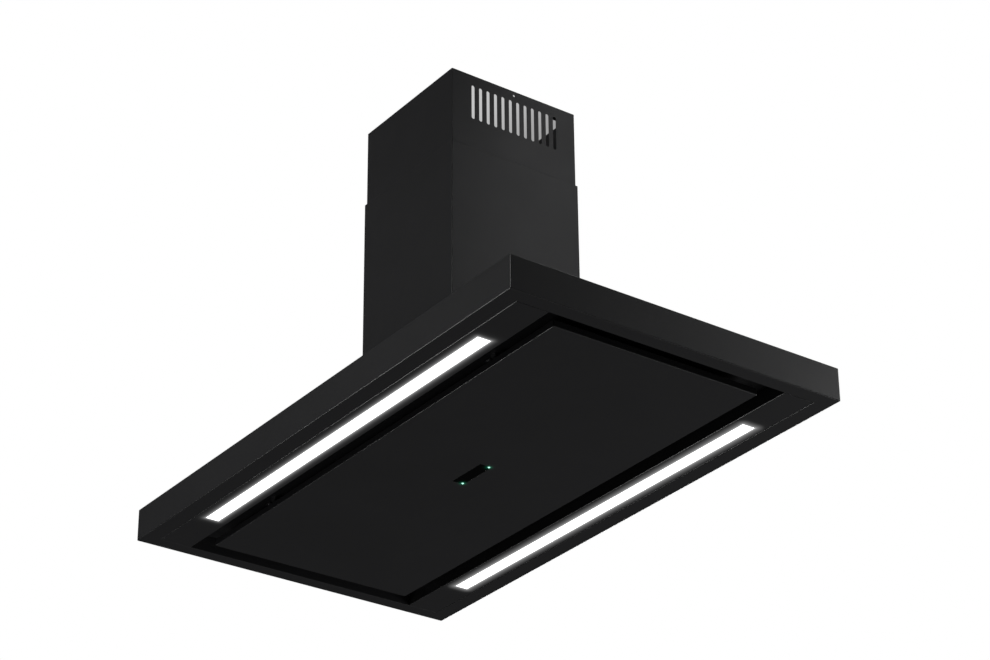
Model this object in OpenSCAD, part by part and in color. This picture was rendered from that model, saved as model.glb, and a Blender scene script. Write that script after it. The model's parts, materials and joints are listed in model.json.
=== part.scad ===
// Island chimney hood: flat canopy with a suction panel and two light bars,
// two telescoping chimney sleeves and the ceiling frame that carries them.
// Millimetres. The origin is the centre of the ceiling plane, +Z is up,
// +X runs along the canopy and the front long side faces -Y.

/* [Canopy] */
// Length of the canopy
canopy_l = 1200; // [1100:10:1400]
// Width of the canopy
canopy_w = 700; // [660:10:800]
// Height of the canopy's side
canopy_h = 63.5; // [60:0.5:90]
// Thickness of the canopy's sheet
canopy_t = 1.2; // [1:0.1:1.5]
// Outside radius of the folded corners
edge_r = 1.8; // [1.4:0.1:3]
// Outer radius of the folds in the sheet
fold_r = 1.6; // [1.4:0.1:2.4]
// Height by which the folds along Y stand over the flats, so that mitres meet cleanly
fold_lift = 0.04; // [0.02:0.01:0.06]
// Width of the fixed rim along the long sides
rim_long = 34; // [28:1:40]
// Width of the fixed rim along the short sides
rim_short = 30.5; // [26:0.5:40]
// Height of the turned-up lip on the long rims
rim_lip = 12; // [10:0.5:16]

/* [Underside] */
// Width of each light tray
tray_w = 65.5; // [56:0.5:72]
// Width of the suction gap round the panel
gap_w = 33.5; // [26:0.5:40]
// Height of the air deck above the canopy's bottom
deck_rise = 33; // [32:0.5:36]
// Open seam between neighbouring sheet parts
seam = 0.5; // [0.3:0.1:0.8]
// Length of each light diffuser
led_l = 870; // [700:10:900]
// Width of each light diffuser
led_w = 26; // [22:1:30]

/* [Suction panel] */
// Thickness of the panel's sheet
panel_t = 1.2; // [1:0.1:1.5]
// Height of the panel's folded rim
panel_rim = 13; // [12:0.5:14]
// Width of the hem folded inwards on the rim
panel_hem = 12; // [11:0.5:14]
// Height of the hinge axis above the canopy's bottom
hinge_rise = 20; // [19.5:0.5:20.5]
// Distance of each hinge from the middle
hinge_x = 380; // [340:10:440]
// Length of the sensor opening
sensor_l = 88; // [70:1:100]
// Width of the sensor opening
sensor_w = 25; // [20:1:30]

/* [Grease filters] */
// Length of one filter cassette
filter_l = 262; // [240:2:270]
// Width of one filter cassette
filter_w = 300; // [260:5:330]
// Thickness of one filter cassette
filter_t = 9; // [8:0.5:10]
// Distance between neighbouring mesh wires
mesh_pitch = 15; // [12:1:24]
// Width of one mesh wire
mesh_wire = 3; // [2:0.5:4]
// Width of the bar between the two filters
deck_bar = 40; // [36:1:50]

/* [Chimney] */
// Outside width of the lower chimney
lower_w = 290.5; // [288:0.5:294]
// Height of the lower chimney
lower_h = 520; // [500:10:560]
// Height of the upper chimney that shows
upper_show = 160; // [150:5:200]
// Whole height of the upper chimney
upper_h = 480; // [460:10:500]
// Thickness of the chimney's sheet
chim_t = 1; // [0.8:0.1:1.2]
// Gap between the two chimney sleeves
sleeve_gap = 1.75; // [1.5:0.05:2.5]
// Number of air slots in each short-side face
slot_n = 12; // [6:1:13]
// Distance between neighbouring slots
slot_pitch = 17.2; // [14:0.2:18]
// Width of one slot
slot_w = 7.2; // [5:0.2:9]
// Length of one slot
slot_l = 73; // [50:1:90]
// Distance from the upper chimney's top edge to the slots
slot_top = 22; // [18:1:40]
// Depth of the screw hole below the top edge
screw_hole_z = 9.7; // [8:0.1:12]
// Diameter of the screw hole
screw_hole_d = 4.6; // [3.5:0.1:6]

/* [Ceiling frame] */
// Length of an upper post
upper_post_h = 460; // [440:10:500]
// Length of a lower post
lower_post_h = 540; // [520:10:560]
// Width of a post's leg
post_leg = 20; // [16:1:20]
// Thickness of a post
post_t = 2; // [1.5:0.1:2.2]
// Width of a ceiling foot
foot_w = 28; // [26:1:32]
// Distance between the ceiling bolts
bolt_span = 244; // [240:1:246]
// Diameter of the ceiling bolt holes
ceiling_hole_d = 7; // [5.5:0.5:8]
// Travel of the hood below its shown height
drop_travel = 220; // [150:10:225]
// Travel of the hood above its shown height
rise_travel = 80; // [40:5:85]

/* [Blower] */
// Gap between the blower case and the feet of the lower posts
case_gap = 2.5; // [1.5:0.5:5]
// Height of the blower case
case_h = 260; // [250:5:290]
// Thickness of the case's sheet
case_t = 1.2; // [1:0.1:1.6]
// Diameter of the outlet collar
collar_d = 150; // [120:1:155]
// Height of the outlet collar
collar_h = 50; // [40:1:70]
// Radius of the fan wheel
wheel_r = 66; // [58:1:67]
// Width of the fan wheel
wheel_w = 116; // [90:2:120]
// Number of blades
blade_n = 36; // [24:1:44]
// Width of the scroll housing
scroll_w = 136; // [134:1:150]
// Growth of the scroll from its tongue to its outlet
scroll_grow = 34; // [28:1:35]
// Radius of the motor
motor_r = 36; // [30:1:40]
// Diameter of the motor shaft
shaft_d = 8; // [6:0.5:10]

/* [Hidden] */
$fn = 48;

// Overrun of every cut past the face it opens
over = 1;
// Clearance of parts that seat in each other
fit = 0.3;
// Clearance of a pin in its bore
run = 0.05;

// Heights: the canopy hangs below the ceiling plane
z_bot = -(upper_show + lower_h + canopy_h);
z_can = z_bot + canopy_h;
upper_w = lower_w - 2 * chim_t - 2 * sleeve_gap;

// Underside layout, half sizes
half_l = canopy_l / 2;
half_w = canopy_w / 2;
mouth_x = half_l - rim_short;
mouth_y = half_w - rim_long;
tray_in = mouth_y - tray_w;
tray_x = mouth_x - seam;
tray_out = mouth_y - seam;
panel_x = mouth_x - gap_w;
panel_y = tray_in - gap_w;
ledge_w = 12;
deck_x = mouth_x + ledge_w - seam;
deck_y = tray_in + ledge_w - seam;
led_y = (tray_in + mouth_y) / 2;

// Throat in the canopy's top and the ring plate that stiffens it
throat_w = 212;
carrier_w = 310;
carrier_t = 3;

// Posts: the upper ones ride inside the lower ones
post_gap = 0.2;
chim_in = upper_w / 2 - chim_t;
tie_gap = 1;
tie_t = 2;
tie_h = 20;
lower_out = chim_in - tie_gap - tie_t;
upper_out = lower_out - post_t - post_gap;
upper_leg = post_leg - post_t;
foot_t = 2.5;
bolt_r = 3;
slot_place_share = 0.6;
bolt_y = lower_out - post_leg * slot_place_share;
bolt_low = 15;
bolt_step = 30;
upper_bolts = [-upper_post_h + bolt_low, -upper_post_h + bolt_low + bolt_step];
bolt_head_r = 5;
bolt_head_h = tie_t;
nut_r = 5.5;
nut_h = 5;
slot_end = 10;
spacer_t = chim_in - upper_out - post_gap;
spacer_w = 14;
spacer_h = 30;
spacer_z = 15;
upper_tie_z = 125;
lower_tie_drop = 5;
foot_hole_in = lower_out - post_leg / 2;

// Glides between the two sleeves
glide_w = 60;
glide_h = 25;
glide_t = sleeve_gap - fit;

// Light bars
led_flange = 3.5;
led_flange_t = 1.5;
channel_h = 12;
channel_t = 1.2;
board_t = 1.6;
board_in = 6;
chip_w = 3;
chip_h = 0.8;
chip_n = 28;
screw_r = 1.5;
screw_head_r = 3;
screw_head_h = 1.8;
screw_len = 4;
tray_screw_n = 4;
tray_screw_z = rim_lip * 0.6;

// Air deck and filter wells
well_gap = 0.75;
well_ledge = 8;
well_h = filter_t + fit + canopy_t;
filter_x = deck_bar / 2 + canopy_t + well_gap + filter_l / 2;
well_l = filter_l + 2 * well_gap;
well_w = filter_w + 2 * well_gap;
frame_t = 1;
frame_rim = 16;
mesh_gap = 0.2;
mesh_t = filter_t - 2 * frame_t - 2 * mesh_gap;
mesh_rim = 8;
mesh_angle = 35;

// Filter latch
latch_w = 30;
latch_t = 2.4;
latch_in = 14;
latch_out = 3;
latch_travel = 6;
latch_stem_w = 12;
latch_stem_l = 5;
latch_pad_w = 36;
latch_pad_l = 12;
latch_pad_t = 3;
latch_z = frame_t + mesh_gap;

// Sensor
sensor_gap = 0.5;
sensor_wall = 4;
window_t = 2.6;
window_up = 0.3;
lamp_r = 1.7;
lamp_x = sensor_l / 2 - 3;
lamp_y = sensor_w / 2 - 4;

// Panel hinges, stiffeners and magnets
hinge_in = 12;
hinge_y = panel_y - hinge_in;
knuckle_r = 3.2;
hinge_pin_r = 2;
leaf_w = 20;
knuckle_w = 9.5;
leaf_t = 1.5;
leaf_l = 12;
hinge_web = 3.4;
hinge_side = 0.4;
pin_head_h = 1.5;
pin_head_r = 3;
hat_w = 24;
hat_foot = 8;
hat_h = 9;
hat_t = 1;
hat_place_share = 0.56;
hat_x = panel_x * hat_place_share;
magnet_place_share = 0.92;
magnet_x = hinge_x * magnet_place_share;
magnet_r = 5;
magnet_h = 4;
magnet_gap = 0.1;
magnet_y = panel_y - panel_hem / 2 - 1.5 * canopy_t;
magnet_w = 14;

// Blower
case_half = lower_out - post_leg - case_gap;
case_w = 2 * case_half;
tab_w = 120;
tab_l = 14;
tab_t = 2;
case_screw_x = tab_w * 0.35;
case_screw_y = case_half + tab_l * 0.55;
tongue_a = 70;
tongue_step = 15;
wheel_gap = 4;
scroll_min = wheel_r + wheel_gap;
scroll_max = scroll_min + scroll_grow;
scroll_t = 1.5;
scroll_flange = 3;
scroll_flange_t = 2;
scroll_floor = 12;
scroll_n = 36;
side_a = 180;
floor_a = 270;
wheel_z = scroll_r(floor_a) + scroll_t + scroll_flange + scroll_floor;
wheel_y = -(case_half - case_t) + scroll_r(side_a) + scroll_t + scroll_flange + tie_gap;
neck_top = case_h - case_t - wheel_z;
neck_left = -(wheel_y + scroll_max) - wheel_y;
inlet_share = 0.75;
inlet_r = wheel_r * inlet_share;
bell_t = 1.5;
bell_l = 5;
bell_out = 3;
blade_share = 0.8;
blade_in = wheel_r * blade_share;
blade_t = 0.9;
blade_lean = 16;
blade_steps = 4;
ring_t = 2;
ring_w = 4;
disc_t = 2;
hub_r = shaft_d / 2 + 6;
hub_l = 12;
shaft_gap = 0.02;
motor_gap = 13;
damper_t = 3;
damper_r = 7;
bracket_t = 2;
arm_w = 12;
arm_r = inlet_r + bell_t + bell_out + damper_r + fit;
cap_r = 15;
cap_h = 55;
clip_t = 1.5;
clip_h = 16;
cap_z = 60;
cap_share = 0.62;
cap_y = case_half * cap_share;

// Outlet collar and its flaps
collar_r = collar_d / 2;
collar_t = 1.2;
collar_flange = 13;
collar_in = collar_r - collar_t;
spindle_r = 1.5;
spindle_y = 5;
spindle_z = 14;
flap_t = 1.5;
flap_gap = 1.5;
flap_knuckle = 3.2;
flap_side = 2;
seat_w = 3.5;
seat_t = 1;

// Cable gland
gland_r = 9;
gland_bore = 5;
gland_h = 15;
gland_nut_r = 12;
gland_nut_h = 4;
gland_share = 0.8;
gland_x = case_half * gland_share;

// Electronics in the canopy
box_l = 160;
box_w = 110;
box_h = 20;
box_t = 2;
box_x = (filter_x + well_l / 2 + deck_x) / 2;
pcb_l = 140;
pcb_w = 90;
pcb_z = 5;
part_h = 8;
part_w = 24;
part_step = 34;
driver_l = 150;
driver_w = 46;
driver_h = 20;

// ---------- shared shapes ----------

// Rounded rectangle, centred
module rrect(l, w, r) {
    union() {
        square([l - 2 * r, w], center = true);
        square([l, w - 2 * r], center = true);
        for (sx = [-1, 1]) for (sy = [-1, 1])
            translate([sx * (l / 2 - r), sy * (w / 2 - r)]) circle(r);
    }
}

// Closed band of sheet seen from above
module band(l, w, r, t) {
    difference() {
        rrect(l, w, r);
        rrect(l - 2 * t, w - 2 * t, max(r - t, t / 4));
    }
}

// Side view of folded sheet: a rectangle on the ground line with rounded corners
module fold_view(l, h, r) {
    translate([0, h / 2]) rrect(l, h, r);
}

// Block rounded in plan and in both side views, from the ground up
module folded_block(l, w, h, corner, fold) {
    intersection() {
        linear_extrude(h) rrect(l, w, corner);
        rotate([90, 0, 0]) linear_extrude(w + 2 * over, center = true)
            translate([0, -fold_lift]) fold_view(l, h + 2 * fold_lift, fold);
        rotate([90, 0, 90]) linear_extrude(l + 2 * over, center = true) fold_view(w, h, fold);
    }
}

// Closed shell of folded sheet
module folded_shell(l, w, h, t) {
    difference() {
        folded_block(l, w, h, edge_r, fold_r);
        translate([0, 0, t]) folded_block(l - 2 * t, w - 2 * t, h - 2 * t, edge_r - t, fold_r - t);
    }
}

// Plain block, centred in plan, from one height to another
module block(l, w, z0, z1) {
    translate([-l / 2, -w / 2, z0]) cube([l, w, z1 - z0]);
}

// Copies in the four corners
module corners() {
    for (sx = [0, 1]) for (sy = [0, 1])
        mirror([sx, 0, 0]) mirror([0, sy, 0]) children();
}

// The other end of the canopy
module other_side(axis) {
    children();
    mirror(axis) children();
}

// Angle bar standing in the +X +Y corner
module angle_bar(out, leg, t, z0, z1) {
    difference() {
        translate([out - leg, out - leg, z0]) cube([leg, leg, z1 - z0]);
        translate([out - leg - over, out - leg - over, z0 - over])
            cube([leg - t + over, leg - t + over, z1 - z0 + 2 * over]);
    }
}

// Upright slot with round ends that cuts along X
module slot_x(w, l, depth) {
    rotate([0, 90, 0]) cylinder(r = w / 2, h = depth, center = true);
    translate([0, 0, -(l - w)]) rotate([0, 90, 0])
        cylinder(r = w / 2, h = depth, center = true);
    translate([-depth / 2, -w / 2, -(l - w)]) cube([depth, w, l - w]);
}

// Round-headed screw pointing down, head on z = 0
module screw(len) {
    cylinder(r = screw_head_r, h = screw_head_h);
    translate([0, 0, -len]) cylinder(r = screw_r, h = len + screw_head_h / 2);
}

module at_canopy() translate([0, 0, z_bot]) children();
module at_top() translate([0, 0, z_can]) children();
module at_case() translate([0, 0, z_can + case_h]) children();
module at_wheel() translate([0, wheel_y, z_can + wheel_z]) children();

// Turns a YZ outline into a solid that runs along X from x0
module along_x(x0, len) {
    translate([x0, 0, 0]) rotate([90, 0, 90]) linear_extrude(len) children();
}

// ---------- ceiling frame ----------

module upper_posts() color("dimgray") corners() {
    difference() {
        union() {
            angle_bar(upper_out, upper_leg, post_t, -upper_post_h, 0);
            translate([upper_out - foot_w, upper_out - foot_w, -foot_t])
                cube([foot_w, foot_w, foot_t]);
        }
        translate([bolt_span / 2, bolt_span / 2, -foot_t - over])
            cylinder(r = ceiling_hole_d / 2, h = foot_t + 2 * over);
        for (z = upper_bolts)
            translate([upper_out - post_t / 2, bolt_y, z]) rotate([0, 90, 0])
                cylinder(r = bolt_r + run, h = post_t + 2 * over, center = true);
    }
}

module upper_tie_frame() color("gray") {
    outer = 2 * (upper_out - post_t);
    translate([0, 0, -upper_tie_z]) linear_extrude(tie_h)
        difference() {
            square([outer, outer], center = true);
            square([outer - 2 * tie_t, outer - 2 * tie_t], center = true);
        }
}

// Low-headed bolts through both posts, each with its nut inside
module height_bolts() color("silver") corners() for (z = upper_bolts) {
    grip = lower_out - upper_out + post_t;
    translate([lower_out, bolt_y, z]) rotate([0, 90, 0])
        cylinder(r = bolt_head_r, h = bolt_head_h);
    translate([lower_out - grip - nut_h, bolt_y, z]) rotate([0, 90, 0]) {
        cylinder(r = bolt_r, h = grip + nut_h + bolt_head_h / 2);
        cylinder(r = nut_r, h = nut_h, $fn = 6);
    }
}

module chimney_spacers() color("black") corners() {
    a = upper_out - upper_leg / 2 - spacer_w / 2;
    translate([upper_out, a, -spacer_z - spacer_h]) cube([spacer_t, spacer_w, spacer_h]);
    translate([a, upper_out, -spacer_z - spacer_h]) cube([spacer_w, spacer_t, spacer_h]);
}

// ---------- chimney ----------

module upper_chimney() color([0.1, 0.1, 0.11]) difference() {
    translate([0, 0, -upper_h]) linear_extrude(upper_h) band(upper_w, upper_w, edge_r, chim_t);
    for (i = [0 : slot_n - 1])
        translate([0, (i - (slot_n - 1) / 2) * slot_pitch, -slot_top - slot_w / 2])
            slot_x(slot_w, slot_l, upper_w + 2 * over);
    translate([0, 0, -screw_hole_z]) rotate([0, 90, 0])
        cylinder(r = screw_hole_d / 2, h = upper_w + 2 * over, center = true);
}

module lower_chimney() color([0.08, 0.08, 0.09]) at_top()
    linear_extrude(lower_h) band(lower_w, lower_w, edge_r, chim_t);

module chimney_glides() color("darkslategray") at_top()
    for (a = [0 : 90 : 270]) rotate([0, 0, a])
        translate([lower_w / 2 - chim_t - glide_t, -glide_w / 2, lower_h - glide_h - seam])
            cube([glide_t, glide_w, glide_h]);

// ---------- canopy ----------

module foot_holes(r, z0, z1) {
    corners() translate([foot_hole_in, foot_hole_in, z0]) cylinder(r = r, h = z1 - z0);
}

module case_holes(r, z0, z1) {
    for (a = [0 : 90 : 270]) rotate([0, 0, a]) for (s = [-1, 1])
        translate([case_screw_y, s * case_screw_x, z0]) cylinder(r = r, h = z1 - z0);
}

// Places along X where the trays and the deck are screwed
function tray_places() = [for (i = [0 : tray_screw_n - 1])
    ((i + 0.5) / tray_screw_n - 0.5) * 2 * tray_x];

module deck_places() {
    for (s = [0, 1]) mirror([0, s, 0]) for (x = tray_places())
        translate([x, (tray_in + canopy_t + deck_y) / 2, 0]) children();
    for (s = [0, 1]) mirror([s, 0, 0]) for (y = [-1, 1])
        translate([(mouth_x + canopy_t + deck_x) / 2, y * tray_in / 2, 0]) children();
}

module tray_places_out() {
    for (s = [0, 1]) mirror([0, s, 0]) for (x = tray_places())
        translate([x, tray_out - canopy_t, tray_screw_z]) rotate([90, 0, 0]) children();
}

// Folded shell: four sides, top with the throat, rims with turned-up lips
module canopy_shell() color([0.07, 0.07, 0.08]) at_canopy() difference() {
    union() {
        difference() {
            folded_shell(canopy_l, canopy_w, canopy_h, canopy_t);
            block(throat_w, throat_w, canopy_h - canopy_t - over, canopy_h + over);
            block(2 * mouth_x, 2 * mouth_y, -over, canopy_t + over);
        }
        other_side([0, 1, 0]) translate([-mouth_x - canopy_t, mouth_y, 0])
            cube([2 * (mouth_x + canopy_t), canopy_t, rim_lip]);
        other_side([1, 0, 0]) {
            translate([mouth_x, -mouth_y, 0]) cube([canopy_t, 2 * mouth_y, rim_lip]);
            translate([mouth_x, -tray_in, 0]) cube([canopy_t, 2 * tray_in, deck_rise]);
            translate([mouth_x, -tray_in, deck_rise - canopy_t])
                cube([ledge_w, 2 * tray_in, canopy_t]);
        }
    }
    tray_places_out() translate([0, 0, -screw_len - over])
        cylinder(r = screw_r + run, h = screw_len + 2 * over);
    deck_places() translate([0, 0, deck_rise - screw_len])
        cylinder(r = screw_r + run, h = screw_len + over);
    foot_holes(bolt_r + run, canopy_h - canopy_t - over, canopy_h + over);
    case_holes(screw_r + run, canopy_h - canopy_t - over, canopy_h + over);
}

module carrier_plate() color("gray") at_canopy() difference() {
    top = canopy_h - canopy_t;
    block(carrier_w, carrier_w, top - carrier_t, top);
    block(throat_w, throat_w, top - carrier_t - over, top + over);
    foot_holes(bolt_r + run, top - carrier_t - over, top + over);
    case_holes(screw_r + run, top - carrier_t - over, top + over);
}

// Tray: flat bottom, tall inner upstand with a ledge, low outer upstand
module light_tray() at_canopy() difference() {
    t = canopy_t;
    wide = tray_out - tray_in;
    along_x(-tray_x, 2 * tray_x) difference() {
        translate([tray_in + wide / 2, 0]) fold_view(wide, deck_rise, fold_r);
        translate([tray_in + wide / 2, t])
            fold_view(wide - 2 * t, deck_rise - 2 * t, fold_r - t);
        translate([tray_in + ledge_w - seam, rim_lip])
            square([wide, deck_rise]);
    }
    translate([0, led_y, 0]) block(led_l, led_w, -over, t + over);
    tray_places_out() translate([0, 0, -screw_len])
        cylinder(r = screw_r + run, h = screw_len + over);
    deck_places() translate([0, 0, deck_rise - screw_len])
        cylinder(r = screw_r + run, h = screw_len + over);
}

module light_tray_back() color([0.07, 0.07, 0.08]) light_tray();
module light_tray_front() color([0.07, 0.07, 0.08]) mirror([0, 1, 0]) light_tray();

module led_diffuser() at_canopy() translate([0, led_y, 0]) {
    block(led_l - fit, led_w - fit, 0, canopy_t + led_flange_t / 2);
    block(led_l + 2 * led_flange, led_w + 2 * led_flange, canopy_t, canopy_t + led_flange_t);
}

module led_diffuser_back() color("white") led_diffuser();
module led_diffuser_front() color("white") mirror([0, 1, 0]) led_diffuser();

module led_channel() at_canopy() translate([0, led_y, canopy_t + led_flange_t]) difference() {
    block(led_l + 2 * led_flange, led_w + 2 * led_flange, 0, channel_h);
    block(led_l + 2 * led_flange + over, led_w + 2 * (led_flange - channel_t), -over,
        channel_h - channel_t);
}

module led_channel_back() color("silver") led_channel();
module led_channel_front() color("silver") mirror([0, 1, 0]) led_channel();

module led_board() at_canopy()
    translate([0, led_y, canopy_t + led_flange_t + channel_h - channel_t - board_t]) {
        block(led_l - board_in, led_w - board_in, 0, board_t);
        for (i = [0 : chip_n - 1])
            translate([((i + 0.5) / chip_n - 0.5) * (led_l - board_in), 0, 0])
                block(chip_w, chip_w, -chip_h, 0);
    }

module led_board_back() color("lightyellow") led_board();
module led_board_front() color("lightyellow") mirror([0, 1, 0]) led_board();

module tray_screws() color("silver") at_canopy() tray_places_out() screw(screw_len);

// ---------- air deck and filters ----------

module deck_well(t_out, z0, z1) {
    block(well_l + 2 * t_out, well_w + 2 * t_out, z0, z1);
}

module at_filters() {
    for (s = [-1, 1]) translate([s * filter_x, 0, deck_rise]) children();
}

// Deck with a raised well and a stop ledge round each filter
module air_deck() color([0.09, 0.09, 0.1]) at_canopy() difference() {
    union() {
        block(2 * deck_x, 2 * deck_y, deck_rise, deck_rise + canopy_t);
        at_filters() deck_well(canopy_t, 0, well_h);
    }
    at_filters() {
        deck_well(0, -over, well_h - canopy_t);
        deck_well(-well_ledge, -over, well_h + over);
        translate([0, -well_w / 2, latch_z])
            block(latch_w + 2 * fit, 4 * canopy_t, -fit, latch_t + fit);
    }
    deck_places() translate([0, 0, deck_rise - over])
        cylinder(r = screw_r + run, h = canopy_t + 2 * over);
}

module deck_screws() color("silver") at_canopy() deck_places()
    translate([0, 0, deck_rise + canopy_t]) screw(2 * canopy_t);

module filter_frame() at_canopy() translate([0, 0, deck_rise]) difference() {
    block(filter_l, filter_w, 0, filter_t);
    block(filter_l - 2 * frame_rim, filter_w - 2 * frame_rim, -over, filter_t + over);
    block(filter_l - 2 * frame_t, filter_w - 2 * frame_t, frame_t, filter_t - frame_t);
    translate([0, -filter_w / 2, latch_z])
        block(latch_w + 2 * fit, 4 * frame_t, -fit, latch_t + fit);
    translate([0, -filter_w / 2 + frame_rim / 2 + fit, 0])
        block(latch_stem_w + 2 * fit, frame_rim - 2 * frame_t + 2 * fit, -over, frame_t + over);
}

module filter_frame_right() color("silver") translate([filter_x, 0, 0]) filter_frame();
module filter_frame_left() color("silver") translate([-filter_x, 0, 0]) filter_frame();

// One layer of parallel wires laid at an angle
module wires(angle) {
    reach = filter_l + filter_w;
    count = ceil(reach / 2 / mesh_pitch);
    intersection() {
        square([filter_l - 2 * frame_t - mesh_rim, filter_w - 2 * frame_t - mesh_rim],
            center = true);
        rotate([0, 0, angle]) for (i = [-count : count])
            translate([i * mesh_pitch, 0]) square([mesh_wire, reach], center = true);
    }
}

module filter_mesh() at_canopy() translate([0, 0, deck_rise + frame_t + mesh_gap]) {
    ml = filter_l - 2 * frame_t - 2 * mesh_gap;
    mw = filter_w - 2 * frame_t - 2 * mesh_gap;
    notch_l = latch_in + latch_travel + 2 * fit;
    difference() {
        union() {
            linear_extrude(mesh_t) difference() {
                square([ml, mw], center = true);
                square([ml - 2 * mesh_rim, mw - 2 * mesh_rim], center = true);
            }
            linear_extrude(mesh_t / 2) wires(mesh_angle);
            translate([0, 0, mesh_t / 2]) linear_extrude(mesh_t / 2) wires(-mesh_angle);
        }
        translate([0, -filter_w / 2 + notch_l / 2, 0])
            block(latch_w + 4 * fit, notch_l, -over, mesh_t + over);
    }
}

module filter_mesh_right() color("gainsboro") translate([filter_x, 0, 0]) filter_mesh();
module filter_mesh_left() color("gainsboro") translate([-filter_x, 0, 0]) filter_mesh();

// Tongue in the frame, stem through its lower flange and a finger pad below
module filter_latch() at_canopy() translate([0, -filter_w / 2, deck_rise]) {
    tongue_l = latch_in + well_gap + canopy_t + latch_out;
    translate([-latch_w / 2, latch_in - tongue_l, latch_z]) cube([latch_w, tongue_l, latch_t]);
    translate([-latch_stem_w / 2, frame_t + 2 * fit, -latch_pad_t / 2])
        cube([latch_stem_w, latch_stem_l, latch_pad_t / 2 + latch_z + latch_t / 2]);
    translate([-latch_pad_w / 2, frame_t + 2 * fit, -latch_pad_t - fit])
        cube([latch_pad_w, latch_pad_l - latch_travel, latch_pad_t]);
}

module filter_latch_right() color("black") translate([filter_x, 0, 0]) filter_latch();
module filter_latch_left() color("black") translate([-filter_x, 0, 0]) filter_latch();

// ---------- sensor ----------

module sensor_housing() color("black") at_canopy() {
    block(sensor_l + 2 * sensor_wall, sensor_w + 2 * sensor_wall, window_t + window_up, deck_rise);
}

module sensor_window() color([0.02, 0.02, 0.02]) at_canopy() difference() {
    translate([0, 0, window_up]) linear_extrude(window_t)
        rrect(sensor_l - 2 * sensor_gap, sensor_w - 2 * sensor_gap, edge_r / 2);
    for (s = [-1, 1]) translate([s * lamp_x, lamp_y, window_up - over])
        cylinder(r = lamp_r + run, h = window_t + 2 * over);
}

module status_lamps() color("limegreen") at_canopy()
    for (s = [-1, 1]) translate([s * lamp_x, lamp_y, window_up]) {
        cylinder(r = lamp_r, h = window_t);
        intersection() {
            sphere(r = lamp_r);
            translate([0, 0, -lamp_r]) cylinder(r = lamp_r, h = lamp_r + over / 2);
        }
    }

// ---------- lower posts ----------

module lower_posts() color("dimgray") at_top() corners() difference() {
    low = upper_post_h - bolt_low + rise_travel + slot_end;
    high = upper_post_h - bolt_low - bolt_step - drop_travel - slot_end;
    union() {
        angle_bar(lower_out, post_leg, post_t, 0, lower_post_h);
        translate([lower_out - post_leg, lower_out - post_leg, 0])
            cube([post_leg, post_leg, foot_t]);
    }
    translate([lower_out - post_t / 2, bolt_y, -high - z_can - bolt_r])
        slot_x(2 * (bolt_r + fit), low - high, post_t + 2 * over);
    translate([foot_hole_in, foot_hole_in, -over]) cylinder(r = bolt_r + run, h = foot_t + 2 * over);
}

module lower_tie_frame() color("gray") at_top()
    translate([0, 0, lower_post_h - lower_tie_drop - tie_h]) linear_extrude(tie_h)
        difference() {
            square([2 * (lower_out + tie_t), 2 * (lower_out + tie_t)], center = true);
            square([2 * lower_out, 2 * lower_out], center = true);
        }

module post_bolts() color("silver") at_top() corners()
    translate([foot_hole_in, foot_hole_in, 0]) {
        deep = canopy_t + carrier_t;
        translate([0, 0, foot_t]) cylinder(r = nut_r, h = nut_h, $fn = 6);
        translate([0, 0, -deep - nut_h]) {
            cylinder(r = bolt_r, h = deep + nut_h + foot_t + nut_h / 2);
            cylinder(r = nut_r, h = nut_h, $fn = 6);
        }
    }

// ---------- blower ----------

module blower_case() color("silver") at_top() difference() {
    union() {
        linear_extrude(case_h) band(case_w, case_w, edge_r, case_t);
        translate([0, 0, case_h - case_t]) linear_extrude(case_t) rrect(case_w, case_w, edge_r);
        for (a = [0 : 90 : 270]) rotate([0, 0, a])
            translate([case_half - case_t / 2, -tab_w / 2, 0])
                cube([tab_l + case_t / 2, tab_w, tab_t]);
    }
    translate([0, 0, case_h - case_t - over]) cylinder(r = collar_in, h = case_t + 2 * over);
    translate([-gland_x, -gland_x, case_h - case_t - over])
        cylinder(r = gland_r + run, h = case_t + 2 * over);
    case_holes(screw_r + run, -over, tab_t + over);
}

module case_screws() color("silver") at_top() for (a = [0 : 90 : 270]) rotate([0, 0, a])
    for (s = [-1, 1]) translate([case_screw_y, s * case_screw_x, tab_t])
        screw(tab_t + canopy_t + carrier_t);

// Radius of the scroll's inner wall at an angle from its outlet side
function scroll_r(a) = scroll_min + scroll_grow * (a - tongue_a) / (360 - tongue_a);
function scroll_point(a, add) = [
    (scroll_r(a) + add) * cos(a), (scroll_r(a) + add) * sin(a)];
function spiral(add) = [for (i = [0 : scroll_n])
    scroll_point(tongue_a + (360 - tongue_a) * i / scroll_n, add)];

// Spiral with its flared neck, grown outwards by a wall
module scroll_outline(add) {
    root = add > 0 ? tongue_a + tongue_step : tongue_a;
    union() {
        polygon(concat([[0, 0]], spiral(add)));
        polygon([[0, 0], [scroll_max + add, 0], [scroll_max + add, neck_top],
            [neck_left - 1.3 * add, neck_top], scroll_point(root, add)]);
    }
}

// One half of the split scroll housing with its rolled inlet
module scroll_half() at_wheel() difference() {
    union() {
        along_x(0, scroll_w / 2) scroll_outline(scroll_t);
        along_x(0, scroll_flange_t) scroll_outline(scroll_t + scroll_flange);
        translate([scroll_w / 2, 0, 0]) rotate([0, 90, 0])
            cylinder(r1 = inlet_r + bell_t, r2 = inlet_r + bell_t + bell_out, h = bell_l);
    }
    along_x(-over, scroll_w / 2 - scroll_t + over) scroll_outline(0);
    translate([0, 0, 0]) rotate([0, 90, 0]) cylinder(r = inlet_r, h = scroll_w);
    translate([scroll_w / 2, 0, 0]) rotate([0, 90, 0])
        cylinder(r1 = inlet_r, r2 = inlet_r + bell_out, h = bell_l + over / 4);
    translate([0, 0, neck_top]) block(2 * scroll_w, 2 * case_w, 0, over);
}

module scroll_half_right() color("darkgray") scroll_half();
module scroll_half_left() color("darkgray") mirror([1, 0, 0]) scroll_half();

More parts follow.
